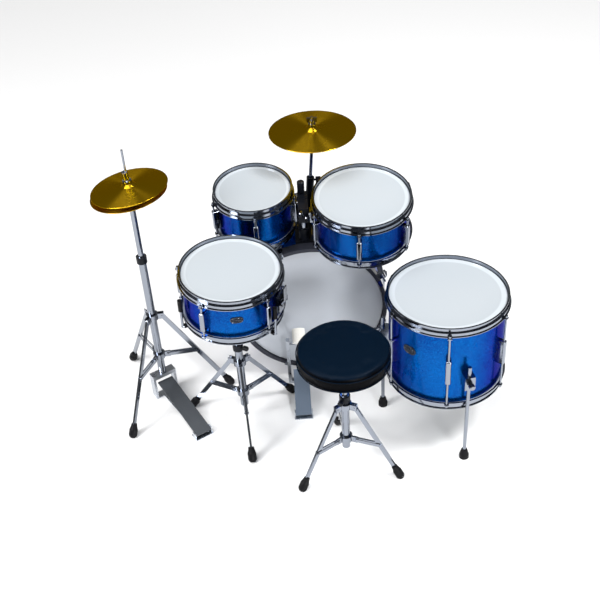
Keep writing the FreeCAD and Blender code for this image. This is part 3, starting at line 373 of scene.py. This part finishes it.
def rings_group():
    """Turning grooves that follow the radius kept in a UV map's v."""
    tree, entry, leave = new_group("Kit Lathe Rings", [
        ("Count", "Float", 46.0), ("Depth", "Float", 0.4)],
        [("Normal", "Vector"), ("Groove", "Float")])
    where = add(tree, "ShaderNodeTexCoord", (-1000, 0))
    split = add(tree, "ShaderNodeSeparateXYZ", (-800, 0), {0: where.outputs["UV"]})
    steps = add(tree, "ShaderNodeMath", (-600, 0), {0: split.outputs[1], 1: entry.outputs["Count"]},
                operation="MULTIPLY")
    strip = add(tree, "ShaderNodeCombineXYZ", (-400, 0), {0: steps.outputs[0]})
    uneven = add(tree, "ShaderNodeTexNoise", (-200, 150), {"Vector": strip.outputs[0], "Scale": 3.0,
                                                          "Detail": 4.0, "Roughness": 0.8})
    wave = add(tree, "ShaderNodeMath", (-400, -200), {0: steps.outputs[0], 1: 2 * math.pi},
               operation="MULTIPLY")
    ripple = add(tree, "ShaderNodeMath", (-200, -200), {0: wave.outputs[0]}, operation="SINE")
    total = add(tree, "ShaderNodeMath", (0, 0), {0: ripple.outputs[0], 1: 0.35, 2: uneven.outputs[0]},
                operation="MULTIPLY_ADD")
    bump = add(tree, "ShaderNodeBump", (250, 0), {
        "Strength": entry.outputs["Depth"], "Distance": 0.0005, "Height": total.outputs[0]})
    tree.links.new(bump.outputs[0], leave.inputs["Normal"])
    tree.links.new(uneven.outputs[0], leave.inputs["Groove"])
    return tree


def dust_group():
    """A mask of fine dust that settles on faces that look up."""
    tree, entry, leave = new_group("Kit Dust", [("Scale", "Float", 60.0), ("Amount", "Float", 0.1)],
                                   [("Mask", "Float")])
    where = add(tree, "ShaderNodeTexCoord", (-900, -300))
    facing = add(tree, "ShaderNodeNewGeometry", (-900, 100))
    up = add(tree, "ShaderNodeSeparateXYZ", (-700, 100), {0: facing.outputs["Normal"]})
    cloud = add(tree, "ShaderNodeTexNoise", (-600, -200), {
        "Vector": where.outputs["Object"], "Scale": entry.outputs["Scale"], "Detail": 6.0, "Roughness": 0.7})
    lift = add(tree, "ShaderNodeMapRange", (-400, 100), {
        "Value": up.outputs[2], "From Min": 0.2, "From Max": 1.0})
    spot = add(tree, "ShaderNodeMapRange", (-400, -200), {
        "Value": cloud.outputs[0], "From Min": 0.45, "From Max": 0.75})
    both = add(tree, "ShaderNodeMath", (-100, 0), {0: lift.outputs[0], 1: spot.outputs[0]},
               operation="MULTIPLY")
    level = add(tree, "ShaderNodeMath", (150, 0), {0: both.outputs[0], 1: entry.outputs["Amount"]},
                operation="MULTIPLY")
    tree.links.new(level.outputs[0], leave.inputs["Mask"])
    return tree


GROUPS = {}


def group_node(tree, key, at, inputs):
    """One of the shared groups placed in a material, built the first time it is asked for."""
    makers = {"smudge": smudge_group, "grain": grain_group, "flake": flake_group, "rings": rings_group,
              "dust": dust_group}
    if key not in GROUPS:
        GROUPS[key] = makers[key]()
    return add(tree, "ShaderNodeGroup", at, inputs, node_tree=GROUPS[key])


def feed(tree, shader, key, socket, at, inputs):
    """A shared group whose output of a name drives the shader's input of that name."""
    node = group_node(tree, key, at, inputs)
    tree.links.new(node.outputs[socket], shader.inputs[socket])
    return node


def new_material(name, **values):
    """A material with one Principled shader and its plain values."""
    material = bpy.data.materials.get(name)
    if material:
        return material, None, None
    material = bpy.data.materials.new(name)
    material.use_nodes = True
    tree = material.node_tree
    shader = tree.nodes["Principled BSDF"]
    for key, value in values.items():
        shader.inputs[key.replace("_", " ")].default_value = value
    return material, tree, shader


def rgba(colour, gain=1.0):
    """A colour with full alpha."""
    return (colour[0] * gain, colour[1] * gain, colour[2] * gain, 1.0)


def dusted(tree, shader, colour, amount):
    """Lay a little dust over a base colour."""
    dust = group_node(tree, "dust", (-600, 300), {"Amount": amount})
    mix = add(tree, "ShaderNodeMix", (-300, 300), {0: dust.outputs["Mask"], 6: colour, 7: DUST_TINT},
              data_type="RGBA")
    tree.links.new(mix.outputs[2], shader.inputs["Base Color"])


def wrap_material():
    """Blue metallic wrap under clear lacquer."""
    material, tree, shader = new_material("shell_wrap", Metallic=1.0, Roughness=0.28, Coat_Weight=0.08,
                                          Coat_Roughness=0.04, Specular_Tint=(0.01, 0.10, 0.42, 1))
    if tree:
        look = finishes()
        flake = group_node(tree, "flake", (-600, 100), {
            "Base": rgba(look.wrap), "Flake": rgba(look.wrap_flake), "Scale": 1100.0, "Amount": 0.45})
        tree.links.new(flake.outputs["Normal"], shader.inputs["Normal"])
        feed(tree, shader, "smudge", "Roughness", (-600, -200), {"Scale": 7.0, "Low": 0.22, "High": 0.30})
        dusted(tree, shader, flake.outputs["Color"], 0.003)
    return material


def chrome_material():
    """Bright chrome plate with faint handling marks; its colour is set dark and bluish as a painted
    reflection of darker surroundings.
    """
    material, tree, shader = new_material("chrome_plate", Metallic=1.0)
    if tree:
        feed(tree, shader, "smudge", "Roughness", (-600, -200), {"Scale": 26.0, "Low": 0.06, "High": 0.17})
        dusted(tree, shader, rgba(finishes().chrome), 0.04)
    return material


def steel_material():
    """Zinc plated steel, duller than the chrome."""
    material, tree, shader = new_material("plated_steel", Metallic=1.0)
    if tree:
        feed(tree, shader, "smudge", "Roughness", (-600, -200), {"Scale": 40.0, "Low": 0.22, "High": 0.4})
        feed(tree, shader, "grain", "Normal", (-600, -450), {"Scale": 900.0, "Depth": 0.08, "Crease": 0.1})
        dusted(tree, shader, (0.50, 0.53, 0.58, 1), 0.15)
    return material


def moulded_material(name, colour, low, high, scale, depth):
    """Moulded rubber or plastic with a fine texture."""
    material, tree, shader = new_material(name, Specular_IOR_Level=0.12)
    if tree:
        feed(tree, shader, "smudge", "Roughness", (-600, -200), {"Scale": 30.0, "Low": low, "High": high})
        feed(tree, shader, "grain", "Normal", (-600, -450), {"Scale": scale, "Depth": depth, "Crease": 0.4})
        dusted(tree, shader, colour, 0.006)
    return material


def head_material(name, colour, rim_gain):
    """Coated drum head: fine sprayed texture, with a clearer and lighter band outside the coating."""
    material, tree, shader = new_material(name, Coat_Weight=0.15, Coat_Roughness=0.35)
    if tree:
        where = add(tree, "ShaderNodeTexCoord", (-1000, 200))
        split = add(tree, "ShaderNodeSeparateXYZ", (-800, 200), {0: where.outputs["UV"]})
        band = add(tree, "ShaderNodeMapRange", (-600, 200), {
            "Value": split.outputs[1], "From Min": 0.885, "From Max": 0.905})
        haze = group_node(tree, "smudge", (-800, -50), {"Scale": 6.0, "Low": 0.0, "High": 0.3})
        tone = add(tree, "ShaderNodeMix", (-500, 0), {
            0: haze.outputs["Roughness"], 6: rgba(colour),
            7: rgba((colour[0] * 0.93, colour[1] * 0.97, colour[2]))}, data_type="RGBA")
        edge = add(tree, "ShaderNodeMix", (-250, 200), {
            0: band.outputs[0], 6: tone.outputs[2], 7: rgba([min(c * rim_gain, 0.95) for c in colour])},
            data_type="RGBA")
        tree.links.new(edge.outputs[2], shader.inputs["Base Color"])
        rough = add(tree, "ShaderNodeMapRange", (-250, -100), {
            "Value": band.outputs[0], "To Min": 0.55, "To Max": 0.28})
        tree.links.new(rough.outputs[0], shader.inputs["Roughness"])
        feed(tree, shader, "grain", "Normal", (-500, -300), {"Scale": 1400.0, "Depth": 0.15, "Crease": 0.0})
    return material


def brass_material():
    """Turned brass: grooves round the axis draw the light out into radial wedges."""
    material, tree, shader = new_material("cymbal_brass", Metallic=1.0, Anisotropic=0.92,
                                          Anisotropic_Rotation=0.25, Specular_Tint=(0.9, 0.6, 0.1, 1))
    if tree:
        look = finishes()
        rings = group_node(tree, "rings", (-800, 0), {"Count": float(sizes().lathe_rings), "Depth": 0.35})
        tree.links.new(rings.outputs["Normal"], shader.inputs["Normal"])
        shade = add(tree, "ShaderNodeMapRange", (-500, 200), {
            "Value": rings.outputs["Groove"], "From Min": 0.3, "From Max": 0.7, "To Min": 0.0, "To Max": 0.5})
        colour = add(tree, "ShaderNodeMix", (-250, 200), {
            0: shade.outputs[0], 6: rgba(look.brass), 7: rgba(look.brass, 0.62)}, data_type="RGBA")
        tree.links.new(colour.outputs[2], shader.inputs["Base Color"])
        feed(tree, shader, "smudge", "Roughness", (-500, -250), {"Scale": 9.0, "Low": 0.24, "High": 0.29})
        way = add(tree, "ShaderNodeTangent", (-250, -450), direction_type="UV_MAP", uv_map="UVMap")
        tree.links.new(way.outputs[0], shader.inputs["Tangent"])
    return material


def vinyl_material():
    """Upholstery vinyl with a leather grain: faces that look up are painted a lighter blue-black than the
    blacker panel round the side, a painted reflection of the sky on the top.
    """
    material, tree, shader = new_material("seat_vinyl", Specular_IOR_Level=0.03)
    if tree:
        feed(tree, shader, "smudge", "Roughness", (-600, -150), {"Scale": 14.0, "Low": 0.34, "High": 0.5})
        feed(tree, shader, "grain", "Normal", (-600, -400), {"Scale": 420.0, "Depth": 0.5, "Crease": 0.75})
        # Painted reflection: the upward share of the normal blends the blacker side colour into the lighter,
        # bluer top colour.
        facing = add(tree, "ShaderNodeNewGeometry", (-1100, 300))
        split = add(tree, "ShaderNodeSeparateXYZ", (-900, 300), {0: facing.outputs["Normal"]})
        top = add(tree, "ShaderNodeMapRange", (-700, 300), {
            "Value": split.outputs["Z"], "From Min": 0.35, "From Max": 0.75})
        panel = add(tree, "ShaderNodeMix", (-500, 300), {
            0: top.outputs["Result"], 6: (0.0003, 0.0004, 0.001, 1), 7: rgba(finishes().vinyl)},
            data_type="RGBA")
        tree.links.new(panel.outputs[2], shader.inputs["Base Color"])
    return material


def felt_material():
    """Pressed wool felt."""
    material, tree, shader = new_material("wool_felt", Roughness=0.95, Sheen_Weight=0.5, Sheen_Roughness=0.6)
    if tree:
        grain = feed(tree, shader, "grain", "Normal", (-600, -300), {
            "Scale": 700.0, "Depth": 0.8, "Crease": 0.15})
        tone = add(tree, "ShaderNodeMix", (-300, 100), {
            0: grain.outputs["Mask"], 6: (0.55, 0.54, 0.50, 1), 7: (0.80, 0.78, 0.73, 1)}, data_type="RGBA")
        tree.links.new(tone.outputs[2], shader.inputs["Base Color"])
    return material


def rubber():
    """The stands' boots and the snare basket's grips."""
    return moulded_material("boot_rubber", (0.003, 0.003, 0.004, 1), 0.45, 0.65, 500.0, 0.25)


def plastic():
    """Moulded clamps and knobs."""
    return moulded_material("clamp_plastic", (0.005, 0.006, 0.009, 1), 0.25, 0.45, 800.0, 0.15)


def tread(name="pedal_tread", colour=(0.050, 0.055, 0.062, 1)):
    """Grey cast pedal board."""
    return moulded_material(name, colour, 0.35, 0.55, 210.0, 1.0)


# ------------------------------------------------------------------ operators
class KitStep(bpy.types.Operator):
    bl_options = {"REGISTER", "UNDO"}


class KIT_OT_camera(KitStep):
    """Place the camera above and in front of the drummer's side."""

    bl_idname = "kit.camera"
    bl_label = "Camera"

    def execute(self, context):
        place = Vector(CAMERA_AT)
        pitch, roll = CAMERA_PITCH, CAMERA_ROLL
        forward = Vector((0.0, math.cos(pitch), -math.sin(pitch)))
        level = Vector((1.0, 0.0, 0.0))
        upright = Vector((0.0, math.sin(pitch), math.cos(pitch)))
        right = math.cos(roll) * level + math.sin(roll) * upright
        up = -math.sin(roll) * level + math.cos(roll) * upright
        camera = bpy.data.objects.new("camera", bpy.data.cameras.new("camera"))
        camera.data.lens = CAMERA_LENS
        camera.data.sensor_width = 36.0
        camera.data.clip_end = 60.0
        camera.matrix_world = Matrix.Translation(place) @ Matrix((right, up, -forward)).transposed().to_4x4()
        context.scene.collection.objects.link(camera)
        context.scene.camera = camera
        return {"FINISHED"}


class KIT_OT_metalwork(KitStep):
    """Chrome and steel for the stands, lugs, hoops and rods."""

    bl_idname = "kit.metalwork"
    bl_label = "Metalwork"

    def execute(self, context):
        slots = {part["node"]: part["material_slot"] for part in frame["record"]["subparts"]}
        makers = {"chrome": chrome_material, "steel": steel_material, "black_rubber": rubber,
                  "black_plastic": plastic, "grey_tread": tread, "blue_shell": wrap_material,
                  "white_felt": felt_material, "black_vinyl": vinyl_material}
        for node in frame["nodes"]:
            maker = makers.get(slots[node])
            if maker:
                dress([node], maker())
        dress(["bass_pedal_board"], tread("pedal_tread_pale", (0.11, 0.14, 0.185, 1)))
        dress(["bass_drum_hoops"],
              moulded_material("hoop_lacquer", (0.030, 0.032, 0.042, 1), 0.16, 0.3, 300.0, 0.05))
        return {"FINISHED"}


class KIT_OT_heads(KitStep):
    """Coated heads with a rounded collar, in place of the plain films."""

    bl_idname = "kit.heads"
    bl_label = "Drum heads"

    def execute(self, context):
        look = finishes()
        coated = head_material("head_coated", look.head, 1.25)
        # The bass head has no lighter outer band; its colour is lifted above the coated heads' as painted
        # light, making up for the light its upright face misses.
        plain = head_material("head_bass_painted_light", [c * k for c, k in zip(look.head, (1.14, 1.12, 1.15))], 1.0)
        for drum in DRUMS:
            upward = (0, -1, 0) if drum == "bass_drum" else (0, 0, 1)
            own = Round(drum + "_heads", upward)
            radius = own.radius - 5.5 * MM
            film = 0.5 * MM
            for end, side in (("batter", 1.0), ("resonant", -1.0)):
                top = own.half
                bend = 2.0 * MM
                outer = np.concatenate((
                    [(0.0, top)], np.stack((np.linspace(0.05, 0.96, 24) * radius, np.full(24, top)), 1),
                    arc((radius - bend, top - bend), bend, 90, 0, 6),
                    [(radius, top - 6 * MM), (radius + 5.5 * MM, top - 6 * MM),
                     (radius + 5.5 * MM, top - 11 * MM), (radius - film, top - 11 * MM)]))
                inner = np.concatenate((
                    arc((radius - bend, top - bend), bend - film, 0, 90, 6),
                    [(0.0, top - film)]))
                profile = np.concatenate((outer, inner))
                profile[:, 1] *= side
                head = lathe("%s_%s_head" % (drum, end), own.place, profile, sizes().segments, False, radius)
                nodes = (drum + "_heads",) if end == "batter" else ()
                finish_piece(head, BODY_OF[drum + "_heads"], plain if drum == "bass_drum" else coated,
                             nodes)
        return {"FINISHED"}


def badge_material():
    """Dark enamel plate."""
    material, tree, shader = new_material("badge_enamel", Metallic=0.0, Specular_IOR_Level=0.12)
    if tree:
        feed(tree, shader, "smudge", "Roughness", (-600, -200), {"Scale": 60.0, "Low": 0.2, "High": 0.4})
        dusted(tree, shader, (0.003, 0.006, 0.014, 1), 0.004)
    return material


class KIT_OT_badges(KitStep):
    """Plain oval badges with a raised bright rim and a bar across the middle."""

    bl_idname = "kit.badges"
    bl_label = "Badges"

    def execute(self, context):
        enamel = badge_material()
        for node, shell, wide, tall in (("floor_tom_badge", "floor_tom_shell", 40, 26),
                                        ("snare_badge", "snare_drum_shell", 34, 20)):
            dress([node], enamel)
            own = Round(shell)
            low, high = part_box(node)
            middle = (np.array(low) + np.array(high)) / 2 - own.centre
            side, other, along = own.basis @ middle
            azimuth = math.atan2(other, side)
            reach = own.radius + 1.2 * MM
            turn = np.linspace(0, 2 * np.pi, 72, endpoint=False)
            for part, share, thick in (("rim", 0.93, 0.55), ("inner", 0.62, 0.35)):
                across = azimuth + wide * share / 2 * MM * np.cos(turn) / reach
                lift = along + tall * share / 2 * MM * np.sin(turn)
                ring = np.stack((reach * np.cos(across), reach * np.sin(across), lift), 1)
                bead = sweep("%s_%s" % (node, part), own.place(ring), thick * MM / 2, 8, True)
                finish_piece(bead, BODY_OF[node], chrome_material())
            bar = np.linspace(-0.42, 0.42, 24)
            across = azimuth + bar * wide * 0.62 * MM / reach
            line = np.stack((reach * np.cos(across), reach * np.sin(across), np.full(24, along)), 1)
            rib = sweep("%s_bar" % node, own.place(line), 0.5 * MM, 8)
            finish_piece(rib, BODY_OF[node], chrome_material())
        return {"FINISHED"}


def cymbal_profile(radius, bell, rise, bow, thick, hole):
    """Closed outline of a cymbal: hole, bell arc and bow curve above, the same line lower by its sheet."""
    s = np.linspace(hole / bell, 1, 14)
    dome = np.stack((s * bell, -rise * s ** 2.2), 1)
    t = np.linspace(0, 1, 30)[1:]
    edge = np.stack((bell + (radius - bell) * t, -rise - bow * t ** 1.35), 1)
    top = np.concatenate((dome, edge))
    low = top[::-1].copy()
    low[:, 1] -= thick
    return np.concatenate((top, low))


class KIT_OT_cymbals(KitStep):
    """Turned brass cymbals with a bell, a bow and lathe grooves."""

    bl_idname = "kit.cymbals"
    bl_label = "Cymbals"

    def execute(self, context):
        brass = brass_material()
        rows = (("crash_cymbal", 22, 1, 5, 9, 0), ("hihat_top_cymbal", 20, 1, 6, 9, 0.8),
                ("hihat_bottom_cymbal", 20, -1, 6, 9, 0.8))
        # Each row: node, bell radius, side, hole radius, bell height, all in mm, and how much shallower
        # than its frame solid the disc is, so that the hi-hat pair closes without touching.
        for node, bell, side, hole, rise, clear in rows:
            own = Round(node)
            thick = 1.1 * MM
            bow = 2 * own.half - (rise + clear) * MM - thick
            profile = cymbal_profile(own.radius, bell * MM, rise * MM, bow, thick, hole * MM)
            profile[:, 1] += own.half
            profile[:, 1] *= side
            disc = lathe(node + "_turned", own.place, profile, sizes().segments, True)
            finish_piece(disc, BODY_OF[node], brass, (node,))
        return {"FINISHED"}


class KIT_OT_cushion(KitStep):
    """Round stuffed seat with a sewn cover, puffed by a cloth run, and piping round both edges."""

    bl_idname = "kit.cushion"
    bl_label = "Throne cushion"

    def execute(self, context):
        own = Round("throne_seat")
        radius, half = own.radius, own.half
        corner = 13 * MM
        profile = np.concatenate((
            [(0.0, half - 1 * MM)], np.stack((np.linspace(0.1, 0.9, 12) * (radius - corner),
                                              np.full(12, half - 1 * MM)), 1),
            arc((radius - corner - 3 * MM, half - corner - 1 * MM), corner, 90, 0, 8),
            [(radius - 3 * MM, 0.0)],
            arc((radius - 6 * MM - 3 * MM, -half + 6 * MM), 6 * MM, 0, -90, 5),
            [(0.0, -half)]))
        seat = lathe("throne_cushion", own.place, profile, 96, False)
        if sizes().simulate:
            seat = puff(seat, own)
        finish_piece(seat, BODY_OF["throne_seat"], vinyl_material(), ("throne_seat",))
        turn = np.linspace(0, 2 * np.pi, 180, endpoint=False)
        for name, height, reach in (("upper", half - 15 * MM, radius - 2.2 * MM),
                                    ("lower", -half + 7 * MM, radius - 2.4 * MM)):
            ring = np.stack((reach * np.cos(turn), reach * np.sin(turn), np.full(180, height)), 1)
            bead = sweep("throne_piping_" + name, own.place(ring), sizes().seam / 2, 8, True)
            finish_piece(bead, BODY_OF["throne_seat"], vinyl_material())
        return {"FINISHED"}


def puff(seat, own):
    """Swell a cushion with air pressure in a short cloth run, each point held within the swell cap."""
    context = bpy.context
    context.view_layer.objects.active = seat
    remesh = seat.modifiers.new("remesh", "REMESH")
    remesh.mode = "VOXEL"
    remesh.voxel_size = sizes().voxel
    bpy.ops.object.select_all(action="DESELECT")
    seat.select_set(True)
    bpy.ops.object.modifier_apply(modifier="remesh")
    count = len(seat.data.vertices)
    before = np.empty(count * 3)
    seat.data.vertices.foreach_get("co", before)
    before = before.reshape(-1, 3)
    cloth = seat.modifiers.new("cloth", "CLOTH")
    cloth.settings.use_pressure = True
    cloth.settings.uniform_pressure_force = 4.0
    cloth.settings.quality = 5
    cloth.settings.effector_weights.gravity = 0.0
    cloth.point_cache.frame_start = 1
    cloth.point_cache.frame_end = CLOTH_FRAMES
    for step in range(1, CLOTH_FRAMES + 1):
        context.scene.frame_set(step)
    depsgraph = context.evaluated_depsgraph_get()
    swollen = seat.evaluated_get(depsgraph).to_mesh()
    after = np.empty(count * 3)
    swollen.vertices.foreach_get("co", after)
    after = after.reshape(-1, 3)
    seat.evaluated_get(depsgraph).to_mesh_clear()
    seat.modifiers.remove(cloth)
    context.scene.frame_set(1)
    move = after - before
    reach = np.linalg.norm(move, axis=1)
    move *= np.minimum(1.0, sizes().swell / np.maximum(reach, 1e-9))[:, None]
    local = (before - own.centre) @ own.basis.T
    lift = np.clip((local[:, 2] + own.half) / (own.half * 0.6), 0.0, 1.0)
    out = np.hypot(local[:, 0], local[:, 1]) / own.radius
    move_local = move @ own.basis.T
    crown = np.maximum(move_local[:, 2], 0.0) * (1.0 - out ** 2)
    move_local[:, 2] = np.where(local[:, 2] > own.half - 6 * MM, crown * 0.8, move_local[:, 2] * 0.3)
    move_local[:, :2] *= (0.35 * lift)[:, None]
    result = (local + move_local) @ own.basis + own.centre
    seat.data.vertices.foreach_set("co", result.ravel())
    seat.data.update()
    smooth = seat.modifiers.new("subdivide", "SUBSURF")
    smooth.levels = 1
    smooth.render_levels = 1
    bpy.ops.object.modifier_apply(modifier="subdivide")
    seat.data.polygons.foreach_set("use_smooth", np.full(len(seat.data.polygons), True))
    return seat


class KIT_OT_stage(KitStep):
    """Pale floor and soft studio light."""

    bl_idname = "kit.stage"
    bl_label = "Stage"

    def hang(self, context, name, light, at, target):
        """Put a lamp at a place, turned towards a target."""
        lamp = bpy.data.objects.new(name, light)
        aim = (Vector(target) - Vector(at)).to_track_quat("-Z", "Y")
        lamp.matrix_world = Matrix.Translation(at) @ aim.to_matrix().to_4x4()
        context.scene.collection.objects.link(lamp)

    def execute(self, context):
        floor_z = CAD_BOX[0][2]
        reach = FLOOR_REACH
        points = np.array([(-reach, -reach, floor_z), (reach, -reach, floor_z), (reach, reach, floor_z),
                           (-reach, reach, floor_z)])
        floor = mesh_object("floor", points, np.array([[0, 1, 2, 3]]))
        material, _, shader = new_material("floor_white", Roughness=0.85, Specular_IOR_Level=0.1)
        shader.inputs["Base Color"].default_value = (0.80, 0.80, 0.80, 1)
        floor.data.materials.append(material)
        world = bpy.data.worlds.new("studio")
        context.scene.world = world
        world.use_nodes = True
        sky = world.node_tree.nodes["Background"]
        sky.inputs["Color"].default_value = (1, 1, 1, 1)
        sky.inputs["Strength"].default_value = 0.2
        rows = (("key", (1.6, -0.8, 2.9), (0.1, 0.0, 0.4), 85.0, 0.8),
                ("fill", (-2.5, -1.3, 2.2), (0.0, 0.0, 0.4), 85.0, 1.0),
                ("low", (1.15, -2.7, 0.75), (0.1, 0.0, 0.45), 55.0, 0.6))
        for name, at, target, power, size in rows:
            light = bpy.data.lights.new(name, "AREA")
            light.energy = power
            light.size = size
            self.hang(context, name, light, at, target)
        overhead = bpy.data.lights.new("overhead", "SUN")
        overhead.energy = 2.3
        overhead.angle = math.radians(40)
        self.hang(context, "overhead", overhead, (-1.0, -0.5, 3.2), (0.0, 0.0, 0.0))
        context.scene.view_settings.view_transform = "Standard"
        return {"FINISHED"}


class KIT_PT_panel(bpy.types.Panel):
    """Drum kit settings and steps."""

    bl_idname = "KIT_PT_panel"
    bl_label = "Drum Kit"
    bl_space_type = "VIEW_3D"
    bl_region_type = "UI"
    bl_category = "Drum Kit"

    def draw(self, context):
        column = self.layout.column(align=True)
        for name in KitFinishes.__annotations__:
            column.prop(context.scene.kit_finishes, name)
        for name in KitSizes.__annotations__:
            column.prop(context.scene.kit_sizes, name)
        for step in STEPS:
            column.operator(step.bl_idname)


STEPS = (KIT_OT_camera, KIT_OT_metalwork, KIT_OT_heads, KIT_OT_badges, KIT_OT_cymbals, KIT_OT_cushion,
         KIT_OT_stage)
CLASSES = (KitFinishes, KitSizes) + STEPS + (KIT_PT_panel,)


def register():
    """Register the classes and hang the settings on the scene."""
    for item in CLASSES:
        bpy.utils.register_class(item)
    bpy.types.Scene.kit_finishes = PointerProperty(type=KitFinishes)
    bpy.types.Scene.kit_sizes = PointerProperty(type=KitSizes)


def unregister():
    """Take the settings and classes away again."""
    del bpy.types.Scene.kit_sizes
    del bpy.types.Scene.kit_finishes
    for item in reversed(CLASSES):
        bpy.utils.unregister_class(item)


def main():
    """Build the whole scene in order."""
    register()
    for step in STEPS:
        area, name = step.bl_idname.split(".")
        getattr(getattr(bpy.ops, area), name)()


if __name__ == "__main__":
    main()
